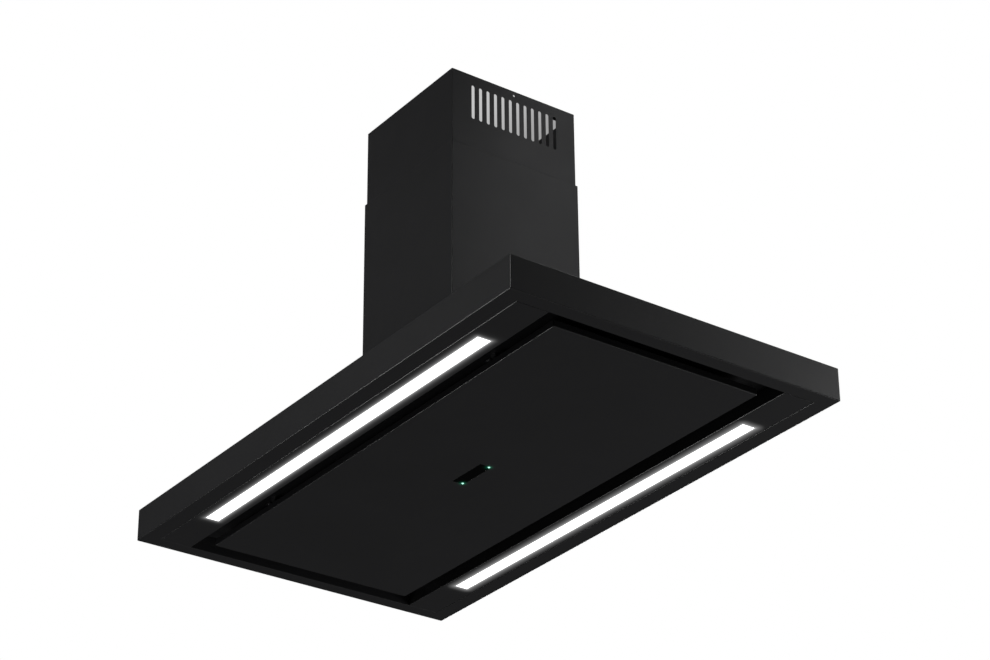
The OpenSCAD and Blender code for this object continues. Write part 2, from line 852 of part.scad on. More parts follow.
// Forward-curved blade between two radii, as a thin bent strip
function blade_point(s, side) = let(
    r = blade_in + (wheel_r - ring_w / 4 - blade_in) * s,
    a = blade_lean * s * s + side * blade_t / 2 / r * 180 / PI)
    [r * cos(a), r * sin(a)];
function blade_outline() = concat(
    [for (i = [0 : blade_steps]) blade_point(i / blade_steps, -1)],
    [for (i = [blade_steps : -1 : 0]) blade_point(i / blade_steps, 1)]);

// Double-inlet squirrel-cage wheel on its middle disc
module fan_wheel() color("dimgray") at_wheel() difference() {
    union() {
        along_x(-wheel_w / 2, wheel_w)
            for (i = [0 : blade_n - 1]) rotate([0, 0, i * 360 / blade_n]) polygon(blade_outline());
        rotate([0, 90, 0]) cylinder(r = wheel_r - ring_w / 2, h = disc_t, center = true);
        rotate([0, 90, 0]) cylinder(r = hub_r, h = hub_l, center = true);
        for (s = [-1, 1]) translate([s * (wheel_w - ring_t) / 2, 0, 0]) rotate([0, 90, 0])
            difference() {
                cylinder(r = wheel_r, h = ring_t, center = true);
                cylinder(r = wheel_r - ring_w, h = ring_t + 2 * over, center = true);
            }
    }
    rotate([0, 90, 0]) cylinder(r = shaft_d / 2 + shaft_gap, h = hub_l + 2 * over, center = true);
}

module motor_shaft() color("silver") at_wheel()
    translate([-scroll_w / 2, 0, 0]) rotate([0, 90, 0])
        cylinder(r = shaft_d / 2, h = scroll_w / 2 + hub_l / 2 + over);

module motor_body() color([0.3, 0.3, 0.32]) at_wheel() difference() {
    rear = scroll_w / 2 + bell_l + damper_t;
    span = rear - motor_gap;
    translate([-rear, 0, 0]) rotate([0, 90, 0]) {
        cylinder(r = motor_r - motor_r / 8, h = span);
        translate([0, 0, span / 6]) cylinder(r = motor_r, h = span * 2 / 3);
        cylinder(r = motor_r / 2, h = span + motor_gap / 4);
    }
    translate([-rear - over, 0, 0]) rotate([0, 90, 0])
        cylinder(r = shaft_d / 2 + run, h = rear + over);
}

module arm_places() {
    for (a = [90, 210, 330]) rotate([a, 0, 0]) translate([0, arm_r, 0]) children();
}

// Three-armed spider that carries the motor in the inlet
module motor_bracket() color("silver") at_wheel()
    translate([-(scroll_w / 2 + bell_l + damper_t) - bracket_t, 0, 0]) difference() {
        union() {
            rotate([0, 90, 0]) cylinder(r = motor_r * 0.8, h = bracket_t);
            for (a = [90, 210, 330]) rotate([a, 0, 0])
                translate([0, 0, -arm_w / 2]) cube([bracket_t, arm_r + arm_w / 2, arm_w]);
        }
        translate([-over, 0, 0]) rotate([0, 90, 0])
            cylinder(r = shaft_d, h = bracket_t + 2 * over);
    }

module motor_dampers() color("black") at_wheel() arm_places()
    translate([-(scroll_w / 2 + bell_l + damper_t), 0, 0]) rotate([0, 90, 0])
        cylinder(r = damper_r, h = bell_l + damper_t);

module at_cap() translate([-(case_half - case_t - clip_t - cap_r), cap_y, cap_z]) children();

module capacitor() color("whitesmoke") at_top() at_cap() cylinder(r = cap_r, h = cap_h);

module capacitor_clip() color("silver") at_top() at_cap()
    translate([0, 0, (cap_h - clip_h) / 2]) difference() {
        union() {
            cylinder(r = cap_r + fit / 2 + clip_t, h = clip_h);
            translate([-cap_r - clip_t, -cap_r, 0]) cube([clip_t, 2 * cap_r, clip_h]);
        }
        translate([0, 0, -over]) cylinder(r = cap_r + fit / 2, h = clip_h + 2 * over);
        translate([-cap_r - clip_t - cap_r, -cap_r * 2, -over])
            cube([cap_r, 4 * cap_r, clip_h + 2 * over]);
        translate([cap_r / 2, -cap_r * 2, -over])
            cube([2 * cap_r, 4 * cap_r, clip_h + 2 * over]);
    }

// ---------- outlet ----------

module outlet_collar() color("silver") at_case() difference() {
    union() {
        cylinder(r = collar_r + collar_flange, h = collar_t);
        cylinder(r = collar_r, h = collar_h);
    }
    translate([0, 0, spindle_z - flap_t / 2 - fit]) cylinder(r = collar_in, h = collar_h);
    translate([0, 0, -over]) cylinder(r = collar_in - seat_w, h = collar_h);
    translate([0, 0, -over])
        cylinder(r = collar_in, h = over + spindle_z - flap_t / 2 - fit - seat_t);
    for (s = [-1, 1]) translate([0, s * spindle_y, spindle_z]) rotate([0, 90, 0])
        cylinder(r = spindle_r + run, h = 2 * collar_d, center = true);
    for (s = [-1, 1]) translate([0, s * spindle_y, spindle_z - flap_knuckle / 2])
        block(2 * collar_in - fit, 2 * flap_knuckle + 2 * fit, -flap_knuckle, flap_knuckle);
}

module flap_spindles() color("silver") at_case()
    for (s = [-1, 1]) translate([0, s * spindle_y, spindle_z]) rotate([0, 90, 0])
        cylinder(r = spindle_r, h = 2 * collar_r - 2 * fit, center = true);

// Half-disc flap with a knuckle on its own spindle
module return_flap() at_case() translate([0, 0, spindle_z]) difference() {
    union() {
        translate([0, 0, -flap_t / 2]) linear_extrude(flap_t) intersection() {
            circle(collar_in - flap_gap);
            translate([-collar_r, spindle_y]) square([2 * collar_r, collar_r]);
        }
        translate([0, spindle_y, 0]) rotate([0, 90, 0])
            cylinder(r = flap_knuckle, h = 2 * (collar_in - flap_gap - flap_side), center = true);
    }
    translate([0, spindle_y, 0]) rotate([0, 90, 0])
        cylinder(r = spindle_r + run, h = 2 * collar_d, center = true);
}

module return_flap_back() color("slategray") return_flap();
module return_flap_front() color("slategray") mirror([0, 1, 0]) return_flap();

module cable_gland() color("black") at_case() translate([-gland_x, -gland_x, 0]) difference() {
    union() {
        translate([0, 0, -case_t - gland_nut_h]) cylinder(r = gland_r, h = case_t + gland_nut_h + gland_h);
        cylinder(r = gland_nut_r, h = gland_nut_h, $fn = 6);
        translate([0, 0, -case_t - gland_nut_h]) cylinder(r = gland_nut_r, h = gland_nut_h, $fn = 6);
    }
    translate([0, 0, -case_t - gland_nut_h - over])
        cylinder(r = gland_bore, h = case_t + gland_nut_h + gland_h + 2 * over);
}

// ---------- electronics ----------

module at_deck_top(x) translate([x, 0, z_bot + deck_rise + canopy_t]) children();

module control_box() color("dimgray") at_deck_top(box_x) difference() {
    block(box_l, box_w, 0, box_h);
    block(box_l - 2 * box_t, box_w - 2 * box_t, box_t, box_h + over);
}

module control_lid() color("gray") at_deck_top(box_x) {
    block(box_l, box_w, box_h, box_h + box_t);
    block(box_l - 2 * box_t - 2 * fit, box_w - 2 * box_t - 2 * fit, box_h - box_t, box_h + box_t / 2);
}

module control_board() color("darkgreen") at_deck_top(box_x) {
    block(pcb_l, pcb_w, pcb_z, pcb_z + board_t);
    for (i = [-1 : 1]) translate([i * part_step, 0, 0])
        block(part_w, part_w, pcb_z + board_t / 2, pcb_z + board_t + part_h);
    corners() translate([pcb_l / 2 - pcb_z, pcb_w / 2 - pcb_z, box_t])
        cylinder(r = pcb_z / 2, h = pcb_z - box_t / 2);
}

module led_driver() color("whitesmoke") at_deck_top(-box_x)
    block(driver_l, driver_w, 0, driver_h);

// ---------- suction panel ----------

module suction_panel() color([0.1, 0.1, 0.11]) at_canopy() difference() {
    folded_shell(2 * panel_x, 2 * panel_y, panel_rim, panel_t);
    block(2 * (panel_x - panel_hem), 2 * (panel_y - panel_hem),
        panel_rim - panel_t - over, panel_rim + over);
    translate([0, 0, -over]) linear_extrude(panel_t + 2 * over)
        rrect(sensor_l, sensor_w, edge_r / 2);
}

// Hat-section bars across the panel, clear of its folds
module panel_stiffeners() color("gray") at_canopy() {
    y1 = panel_y - fold_r - fit;
    for (s = [-1, 1]) translate([s * hat_x, 0, panel_t]) rotate([90, 0, 0])
        linear_extrude(2 * y1, center = true) polygon([
            [-hat_w / 2 - hat_foot, 0], [-hat_w / 2 + hat_t, 0],
            [-hat_w / 2 + hat_t, hat_h - hat_t], [hat_w / 2 - hat_t, hat_h - hat_t],
            [hat_w / 2 - hat_t, 0], [hat_w / 2 + hat_foot, 0],
            [hat_w / 2 + hat_foot, hat_t], [hat_w / 2, hat_t],
            [hat_w / 2, hat_h], [-hat_w / 2, hat_h],
            [-hat_w / 2, hat_t], [-hat_w / 2 - hat_foot, hat_t]]);
}

module at_hinges() {
    for (s = [-1, 1]) translate([s * hinge_x, hinge_y, z_bot + hinge_rise]) children();
}

module knuckle(w, bore) {
    difference() {
        children();
        rotate([0, 90, 0]) cylinder(r = bore, h = w + 2 * over, center = true);
    }
}

module hinge_leaves() color("silver") at_hinges() knuckle(leaf_w, hinge_pin_r + run) {
    drop = hinge_rise - panel_rim;
    union() {
        rotate([0, 90, 0]) cylinder(r = knuckle_r, h = leaf_w, center = true);
        translate([-leaf_w / 2, -hinge_web / 2, -drop]) cube([leaf_w, hinge_web, drop]);
        translate([-leaf_w / 2, -hinge_web / 2, -drop])
            cube([leaf_w, leaf_l - hinge_web / 2, leaf_t]);
    }
}

module hinge_brackets() color("silver") at_hinges() {
    up = deck_rise - hinge_rise;
    span = leaf_w + 2 * hinge_side + 2 * knuckle_w;
    knuckle(span, hinge_pin_r + run) difference() {
        union() {
            rotate([0, 90, 0]) cylinder(r = knuckle_r, h = span, center = true);
            translate([-span / 2, -hinge_web / 2, 0]) cube([span, hinge_web, up]);
            translate([-span / 2, -leaf_l, up - leaf_t]) cube([span, leaf_l + hinge_web / 2, leaf_t]);
        }
        translate([0, 0, -knuckle_r])
            block(leaf_w + 2 * hinge_side, 4 * knuckle_r, -over, 2 * knuckle_r + 2 * leaf_t);
    }
}

module hinge_pins() color("silver") at_hinges() {
    span = leaf_w + 2 * hinge_side + 2 * knuckle_w;
    rotate([0, 90, 0]) {
        cylinder(r = hinge_pin_r, h = span + 2 * pin_head_h, center = true);
        for (s = [-1, 1]) translate([0, 0, s * (span / 2 + pin_head_h / 2 + fit / 2)])
            cylinder(r = pin_head_r, h = pin_head_h - fit, center = true);
    }
}

module at_magnets() {
    for (s = [-1, 1]) translate([s * magnet_x, -magnet_y, z_bot + panel_rim + magnet_gap]) children();
}

module panel_magnets() color("silver") at_magnets() cylinder(r = magnet_r, h = magnet_h);

module magnet_brackets() color("gray") at_magnets() {
    up = deck_rise - panel_rim - magnet_gap;
    block(magnet_w, magnet_w, magnet_h, magnet_h + leaf_t);
    translate([-magnet_w / 2, magnet_w / 2 - leaf_t, magnet_h])
        cube([magnet_w, leaf_t, up - magnet_h]);
    translate([-magnet_w / 2, magnet_w / 2 - leaf_t, up - leaf_t])
        cube([magnet_w, magnet_w, leaf_t]);
}

upper_posts();
upper_tie_frame();
height_bolts();
chimney_spacers();
upper_chimney();
lower_chimney();
chimney_glides();
canopy_shell();
carrier_plate();
light_tray_front();
light_tray_back();
led_channel_front();
led_channel_back();
led_board_front();
led_board_back();
led_diffuser_front();
led_diffuser_back();
tray_screws();
air_deck();
deck_screws();
filter_frame_left();
filter_frame_right();
filter_mesh_left();
filter_mesh_right();
filter_latch_left();
filter_latch_right();
sensor_housing();
sensor_window();
status_lamps();
lower_posts();
lower_tie_frame();
post_bolts();
blower_case();
case_screws();
scroll_half_left();
scroll_half_right();
fan_wheel();
motor_shaft();
motor_body();
motor_bracket();
motor_dampers();
capacitor();
capacitor_clip();
outlet_collar();
flap_spindles();
return_flap_front();
return_flap_back();
cable_gland();
control_box();
control_lid();
control_board();
led_driver();
suction_panel();
panel_stiffeners();
hinge_leaves();
hinge_brackets();
hinge_pins();
magnet_brackets();
panel_magnets();
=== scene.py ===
"""Ceiling-hung chimney hood: looks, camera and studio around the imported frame.

All lengths are metres in the frame of the CAD model: X along the canopy, Z up,
the ceiling plane at zero. The canopy's own heights start at its underside.
"""

import json
import logging
import math
from dataclasses import dataclass
from enum import Enum
from typing import Callable, Sequence

import bpy
import numpy as np
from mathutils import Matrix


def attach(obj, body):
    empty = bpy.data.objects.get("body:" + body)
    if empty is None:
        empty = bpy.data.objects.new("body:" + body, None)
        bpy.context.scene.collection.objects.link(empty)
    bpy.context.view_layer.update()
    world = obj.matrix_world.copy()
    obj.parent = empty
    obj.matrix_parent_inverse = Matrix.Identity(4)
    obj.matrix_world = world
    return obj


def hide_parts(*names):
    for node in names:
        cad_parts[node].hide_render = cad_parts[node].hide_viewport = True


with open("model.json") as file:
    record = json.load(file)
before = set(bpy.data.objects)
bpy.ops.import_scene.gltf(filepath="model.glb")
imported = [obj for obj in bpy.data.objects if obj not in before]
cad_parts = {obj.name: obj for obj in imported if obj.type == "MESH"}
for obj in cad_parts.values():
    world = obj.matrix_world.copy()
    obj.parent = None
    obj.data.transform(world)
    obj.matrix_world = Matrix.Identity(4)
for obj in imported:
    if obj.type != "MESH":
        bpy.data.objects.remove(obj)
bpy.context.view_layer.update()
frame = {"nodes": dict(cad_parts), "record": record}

LOG = logging.getLogger("hood")
MM = 0.001

# Half size of the light strips, and their distance from the middle.
STRIP_HALF = (0.435, 0.013)
STRIP_Y = 0.28325

# Straight bit beside each fold and corner, so that the flats shade flat, and
# the angle above which an edge stays sharp.
STRAIGHT = 0.3 * MM
SHARP = math.radians(35)

Pair = tuple[float, float]
Triple = tuple[float, float, float]
Array = np.ndarray
Surface = tuple[Array, Array]
Hole = Callable[[Array, Array], Array]
Socket = bpy.types.NodeSocket
Node = bpy.types.Node
Tree = bpy.types.NodeTree
Values = dict[str | int, object]


# -------------------------------- surfaces


class Mesh:
    """Vertices and quads of one piece, worked out as whole arrays."""

    def __init__(self) -> None:
        """Starts with no surface."""
        self.points: list[Array] = []
        self.quads: list[Array] = []
        self.count = 0

    def add(self, points: Array, quads: Array) -> "Mesh":
        """Adds one closed surface, turned so that its faces point outwards.

        The signed volume is a sixth of the sum of p0 . (p1 x p2) over the
        triangles; where it is negative every face is reversed.

        Args:
            points: (n, 3) places.
            quads: (m, 4) indices into points.

        Returns:
            The mesh itself.
        """
        used, flat = np.unique(quads, return_inverse=True)
        points, quads = points[used], flat.reshape(quads.shape)
        p = points[quads]
        volume = (
            np.einsum("ij,ij->i", p[:, 0], np.cross(p[:, 1], p[:, 2]))
            + np.einsum("ij,ij->i", p[:, 0], np.cross(p[:, 2], p[:, 3]))
        ).sum()
        self.points.append(points)
        self.quads.append((quads if volume > 0 else quads[:, ::-1]) + self.count)
        self.count += len(points)
        return self

    def folds(self) -> Array:
        """How far each point lies on a fold, from zero on the flats.

        A face's slope is one minus the largest part of its unit normal, over
        the same for a face at 45 degrees. A point takes its faces' mean.

        Returns:
            One value for each point.
        """
        no_area = 1e-18
        p, q = np.concatenate(self.points), np.concatenate(self.quads)
        normal = np.cross(p[q[:, 2]] - p[q[:, 0]], p[q[:, 3]] - p[q[:, 1]])
        length = np.maximum(np.linalg.norm(normal, axis=1), no_area)
        slope = (1 - np.abs(normal).max(1) / length) / (1 - math.sqrt(0.5))
        faces = np.maximum(np.bincount(q.ravel(), minlength=len(p)), 1)
        return np.bincount(q.ravel(), np.repeat(slope, 4), len(p)) / faces

    def make(
        self, name: str, body: str, slot: str, *nodes: str, finish: str = ""
    ) -> bpy.types.Object:
        """Puts the surfaces into one object that rides on a body.

        Args:
            name: The piece's name.
            body: The CAD body it rides on.
            slot: The record's material slot it takes its finish from.
            nodes: The CAD nodes it stands for.
            finish: A finish of its own in place of the slot's.

        Returns:
            The finished object, at the origin.
        """
        points, quads = np.concatenate(self.points), np.concatenate(self.quads)
        mesh = bpy.data.meshes.new(name)
        mesh.from_pydata(points.astype(np.float32), [], quads)
        fold = mesh.attributes.new("fold", "FLOAT", "POINT")
        fold.data.foreach_set("value", self.folds().astype(np.float32))
        mesh.validate()
        mesh.shade_smooth()
        mesh.set_sharp_from_angle(angle=SHARP)
        piece = bpy.data.objects.new(name, mesh)
        bpy.context.scene.collection.objects.link(piece)
        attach(piece, body)
        if nodes:
            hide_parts(*nodes)
        piece.data.materials.append(FINISHES[finish or slot].material())
        LOG.info("made %s: %d points, %d faces, on %s", name, len(points), len(quads), body)
        return piece


def grid_quads(rows: int, columns: int, wrap_rows: bool, wrap_columns: bool) -> Array:
    """Quads of a grid of points, each cell from a point to its next row and column.

    Args:
        rows: Number of rows.
        columns: Number of columns.
        wrap_rows: Whether the last row joins the first.
        wrap_columns: Whether the last column joins the first.

    Returns:
        (cells, 4) indices.
    """
    i = np.arange(rows if wrap_rows else rows - 1)[:, None]
    j = np.arange(columns if wrap_columns else columns - 1)[None, :]
    k, m = (i + 1) % rows, (j + 1) % columns
    corners = [i * columns + j, k * columns + j, k * columns + m, i * columns + m]
    shape = (i.shape[0], j.shape[1])
    return np.stack([np.broadcast_to(c, shape) for c in corners], -1).reshape(-1, 4)


def folded(
    points: Sequence[Sequence[float]], radii: Sequence[float], closed: bool, steps: int = 5
) -> Array:
    """Rounds the corners of a line, as a press brake folds sheet.

    At a corner P with unit directions a and b to its neighbours, the fold is
    P + r (a (1 - sin t) + b (1 - cos t)) for t from 0 to a quarter turn. One
    more point lies on the straight beyond each end, so that the flats shade
    flat. A radius of zero leaves the point as it is.

    Args:
        points: (n, d) corner points.
        radii: One fold radius for each point.
        closed: Whether the last point joins the first.
        steps: Segments of each fold.

    Returns:
        (m, d) points of the rounded line.
    """
    p = np.asarray(points, float)
    before, after = np.roll(p, 1, 0) - p, np.roll(p, -1, 0) - p
    if not closed:
        before[0], after[-1] = -after[0], -before[-1]
    before /= np.abs(before).max(1, keepdims=True)
    after /= np.abs(after).max(1, keepdims=True)
    t = np.linspace(0, math.pi / 2, steps + 1)[:, None]
    parts = [
        np.concatenate([
            q + (r + STRAIGHT) * a[None],
            q + r * (a * (1 - np.sin(t)) + b * (1 - np.cos(t))),
            q + (r + STRAIGHT) * b[None],
        ]) if r else q[None]
        for q, a, b, r in zip(p, before, after, radii)
    ]
    return np.concatenate(parts)


def rings(profile: Array, corner: Array, centre: Sequence[float]) -> Surface:
    """Rounded rectangles joined one after another, for a folded box or frame.

    A ring's quarter q is its centre plus the corner's radius times
    (cos a, sin a) for a from 90 q to 90 (q + 1) degrees in even steps, with
    one more point on the straight side at each end of the arc. The last ring
    joins the first.

    Args:
        profile: (k, 3) rows of half length, half width and height.
        corner: Radius of each ring's corners.
        centre: The middle that the profile is measured from.

    Returns:
        Points and quads of the closed surface.
    """
    steps = 6
    r = corner[:, None, None]
    hx, hy, z = (profile[:, i][:, None, None] for i in range(3))
    q = np.arange(4)[None, :, None]
    t = np.linspace(0, math.pi / 2, steps + 1)
    a = q * math.pi / 2 + np.concatenate([t[:1], t, t[-1:]])[None, None, :]
    slide = STRAIGHT * np.concatenate([[-1], np.zeros(steps + 1), [1]])[None, None, :]
    sx = np.array([1, -1, -1, 1])[None, :, None]
    sy = np.array([1, 1, -1, -1])[None, :, None]
    x = sx * (hx - r) + r * np.cos(a) - slide * np.sin(a)
    y = sy * (hy - r) + r * np.sin(a) + slide * np.cos(a)
    points = np.stack([x, y, np.broadcast_to(z, x.shape)], -1) + np.asarray(centre)
    return points.reshape(-1, 3), grid_quads(len(profile), 4 * (steps + 3), True, True)


def sheet(outer: Array, inner: Array, kept: Array) -> Surface:
    """A sheet with holes, from its two faces on one grid.

    Every kept cell gives a face on each side; where a kept cell meets one that
    is left out, or the grid's end, a wall joins the two sides.

    Args:
        outer: (m, n, 3) points of one side.
        inner: (m, n, 3) points of the other side.
        kept: (m - 1, n - 1) mask of cells.

    Returns:
        Points and quads of the closed surface.
    """
    m, n = outer.shape[:2]
    base = grid_quads(m, n, False, False).reshape(kept.shape + (4,))
    top, low = base[kept], base[kept][:, ::-1] + m * n
    around = np.pad(kept, 1)
    beside = around[1:-1, :-2], around[2:, 1:-1], around[1:-1, 2:], around[:-2, 1:-1]
    walls = []
    for p, open_side in enumerate(beside):
        edge = base[kept & ~open_side]
        near, far = edge[:, p], edge[:, (p + 1) % 4]
        walls.append(np.stack([far, near, near + m * n, far + m * n], -1))
    points = np.concatenate([outer.reshape(-1, 3), inner.reshape(-1, 3)])
    return points, np.concatenate([top, low, *walls])


def pressed(
    outer: Array, inner: Array, stations: Sequence[float], along: int = 0,
    hole: Hole | None = None,
) -> Surface:
    """A folded sheet of one profile carried in a straight line, with holes.

    Args:
        outer: (m, 2) rows of place across and height, one side of the sheet.
        inner: The same on the other side.
        stations: Places along the line.
        along: Axis of the line, 0 for X and 1 for Y.
        hole: Tells from the X and Y of the cells' middles which are left out.

    Returns:
        Points and quads of the closed surface.
    """
    sides = []
    for line in (outer, inner):
        grid = np.empty((len(line), len(stations), 3))
        grid[..., along] = stations
        grid[..., 1 - along] = line[:, 0][:, None]
        grid[..., 2] = line[:, 1][:, None]
        sides.append(grid)
    middle = sides[0][:-1, :-1] * 0.5 + sides[0][1:, 1:] * 0.5
    out = hole(middle[..., 0], middle[..., 1]) if hole else np.zeros(middle.shape[:2], bool)
    return sheet(*sides, ~out)


def slab(
    hx: float, hy: float, z0: float, z1: float, corner: float, edge: float,
    centre: Pair = (0, 0),
) -> Surface:
    """A plate with rounded corners and softened edges.

    Rings run from the middle of its underside round the edge to the middle of
    its top, and the two smallest ones close to a line. A ring's corners shrink
    with its distance from the edge, and stay a little below its half width.

    Args:
        hx: Half length.
        hy: Half width.
        z0: Lower height.
        z1: Upper height.
        corner: Radius of the corners in plan.
        edge: Radius of the edges.
        centre: Its middle in plan.

    Returns:
        Points and quads of the closed surface.
    """
    tiny, least, below = 0.02 * MM, 0.008 * MM, 0.98
    thin = max(hx - hy, 0) + tiny, max(hy - hx, 0) + tiny
    corners = [(*thin, z0), (hx, hy, z0), (hx, hy, z1), (*thin, z1)]
    line = folded(corners, [0, edge, edge, 0], True, 4)
    radius = np.minimum(corner - (hx - line[:, 0]), line[:, :2].min(1) * below)
    return rings(line, np.clip(radius, least, None), (*centre, 0))


# -------------------------------- shading


class Shader:
    """Short way to write a node tree."""

    def __init__(self, tree: Tree) -> None:
        """Takes the tree that the nodes go into."""
        self.tree = tree

    def fill(self, node: Node, values: Values) -> Node:
        """Links or sets some of a node's inputs.

        Args:
            node: The node.
            values: For each input, a link's output socket or a plain value.

        Returns:
            The same node.
        """
        for key, value in values.items():
            if isinstance(value, Socket):
                self.tree.links.new(value, node.inputs[key])
            else:
                node.inputs[key].default_value = value
        return node

    def add(self, kind: str, values: Values | None = None, **settings: object) -> Node:
        """Adds one node.

        Args:
            kind: Its type name, without the prefix.
            values: For each input, a link's output socket or a plain value.
            settings: The node's own properties.

        Returns:
            The node.
        """
        node = self.tree.nodes.new("ShaderNode" + kind)
        for key, value in settings.items():
            setattr(node, key, value)
        return self.fill(node, values or {})

    def group(self, effect: "Effect", values: Values) -> Node:
        """Places a shared effect with this material's own values."""
        return self.add("Group", values, node_tree=effect.tree())

    def ramp(
        self, value: Socket, low: float, high: float, to_low: float, to_high: float
    ) -> Socket:
        """Maps a value smoothly from one range to another."""
        values = {0: value, 1: low, 2: high, 3: to_low, 4: to_high}
        return self.add("MapRange", values, interpolation_type="SMOOTHSTEP").outputs[0]

    def calc(self, kind: str, a: object, b: object = 0.0) -> Socket:
        """One step of arithmetic on one or two values."""
        return self.add("Math", {0: a, 1: b}, operation=kind).outputs[0]

    def times(self, a: object, b: object) -> Socket:
        """The product of two values."""
        return self.calc("MULTIPLY", a, b)

    def beyond(self, value: Socket, limit: float) -> Socket:
        """How far a value, taken without its sign, lies beyond a limit."""
        return self.calc("SUBTRACT", self.calc("ABSOLUTE", value), limit)

    def length(self, a: Socket, b: Socket) -> Socket:
        """The root of the sum of two squares."""
        return self.calc("SQRT", self.calc("ADD", self.times(a, a), self.times(b, b)))

    def fall(self, away: Socket, reach: float) -> Socket:
        """The number e to the minus distance over its reach."""
        return self.calc("POWER", math.e, self.calc("DIVIDE", away, -reach))

    def parts(self, vector: Socket) -> Sequence[Socket]:
        """The X, Y and Z of a vector."""
        return self.add("SeparateXYZ", {0: vector}).outputs

    def mix(self, kind: str, a: object, b: object) -> Socket:
        """Two colours multiplied or added in full."""
        return self.add("Mix", {0: 1.0, 6: a, 7: b}, data_type="RGBA", blend_type=kind).outputs[2]

    def shade(self, colour: Triple, tone: Socket) -> Socket:
        """A colour made lighter or darker by a tone around one."""
        return self.mix("MULTIPLY", (*colour, 1.0), tone)


class Effect(Enum):
    """Shared effects, each one node group."""

    COAT = "coat_grain"
    CLOUD = "soft_cloud"
    SPANGLE = "zinc_spangle"
    LINES = "brushed_lines"
    EDGE = "soft_edge"

    def tree(self) -> Tree:
        """The group, built at its first use."""
        return bpy.data.node_groups.get(self.value) or BUILDERS[self]()


def new_group(
    effect: Effect, inputs: dict[str, float | None], outputs: dict[str, str]
) -> tuple[Shader, Sequence[Socket], Node]:
    """Starts a node group with named sockets.

    Args:
        effect: Whose name it takes.
        inputs: For each input its number, or None where it is a vector.
        outputs: For each output its kind, Float or Vector.

    Returns:
        The writer, the sockets that bring the inputs in, and the output node.
    """
    tree = bpy.data.node_groups.new(effect.value, "ShaderNodeTree")
    for name, value in inputs.items():
        kind = "NodeSocketVector" if value is None else "NodeSocketFloat"
        socket = tree.interface.new_socket(name, in_out="INPUT", socket_type=kind)
        if value is not None:
            socket.default_value = value
    for name, kind in outputs.items():
        tree.interface.new_socket(name, in_out="OUTPUT", socket_type="NodeSocket" + kind)
    got = tree.nodes.new("NodeGroupInput")
    return Shader(tree), got.outputs, tree.nodes.new("NodeGroupOutput")


def coat_grain() -> Tree:
    """Fine orange peel of a baked powder coat, with tiny flecks.

    Height is two octaves of noise at the grain's size. Fleck fades from one,
    at the middles of cells about half that size, to nothing at its reach.

    Returns:
        The group.
    """
    finer, reach = 2.2, 0.32
    s, got, out = new_group(
        Effect.COAT, {"Vector": None, "Size": 0.0008}, {"Height": "Float", "Fleck": "Float"}
    )
    place, scale = got["Vector"], s.calc("DIVIDE", 1.0, got["Size"])
    peel = s.add("TexNoise", {"Vector": place, "Scale": scale, "Detail": 2.0, "Roughness": 0.6})
    cells = s.add("TexVoronoi", {"Vector": place, "Scale": s.times(scale, finer)})
    fleck = s.ramp(cells.outputs["Distance"], 0.0, reach, 1.0, 0.0)
    s.fill(out, {"Height": peel.outputs[0], "Fleck": fleck})
    return s.tree


def soft_cloud() -> Tree:
    """Broad uneven patches of handling and dust, around one.

    Tone is one plus the amount times a noise that runs from minus to plus one.

    Returns:
        The group.
    """
    s, got, out = new_group(
        Effect.CLOUD, {"Vector": None, "Size": 0.2, "Amount": 0.1}, {"Tone": "Float"}
    )
    place, scale = got["Vector"], s.calc("DIVIDE", 1.0, got["Size"])
    noise = s.add("TexNoise", {"Vector": place, "Scale": scale, "Detail": 4.0, "Roughness": 0.55})
    wide = s.ramp(noise.outputs[0], 0.25, 0.75, -1.0, 1.0)
    s.fill(out, {"Tone": s.calc("ADD", 1.0, s.times(wide, got["Amount"]))})
    return s.tree


def zinc_spangle() -> Tree:
    """Crystal flakes of hot-dip zinc.

    Tone is one plus twice the amount times each cell's own random value less a
    half, and Height rises to the cells' borders. A little noise bends these.

    Returns:
        The group.
    """
    bend_scale, bend = 90.0, 0.012
    s, got, out = new_group(
        Effect.SPANGLE, {"Vector": None, "Size": 0.009, "Amount": 0.18},
        {"Tone": "Float", "Height": "Float"},
    )
    noise = s.add("TexNoise", {"Vector": got["Vector"], "Scale": bend_scale, "Detail": 2.0})
    place = s.add("MixRGB", {0: bend, 1: got["Vector"], 2: noise.outputs["Color"]}).outputs[0]
    scale = s.calc("DIVIDE", 1.0, got["Size"])
    cells = s.add("TexVoronoi", {"Vector": place, "Scale": scale})
    own = s.add("SeparateColor", {0: cells.outputs["Color"]}).outputs[0]
    spread = s.times(s.calc("SUBTRACT", own, 0.5), s.times(got["Amount"], 2.0))
    s.fill(out, {"Tone": s.calc("ADD", 1.0, spread), "Height": cells.outputs["Distance"]})
    return s.tree


def brushed_lines() -> Tree:
    """Fine drawn lines along X.

    Height is a noise whose X is shrunk forty times, and Tone swings with it.

    Returns:
        The group.
    """
    shrink = 0.025
    s, got, out = new_group(
        Effect.LINES, {"Vector": None, "Size": 0.0012}, {"Height": "Float", "Tone": "Float"}
    )
    x, y, z = s.parts(got["Vector"])
    place = s.add("CombineXYZ", {0: s.times(x, shrink), 1: y, 2: z}).outputs[0]
    scale = s.calc("DIVIDE", 1.0, got["Size"])
    noise = s.add("TexNoise", {"Vector": place, "Scale": scale, "Detail": 3.0}).outputs[0]
    s.fill(out, {"Height": noise, "Tone": s.ramp(noise, 0.3, 0.7, 0.93, 1.07)})
    return s.tree


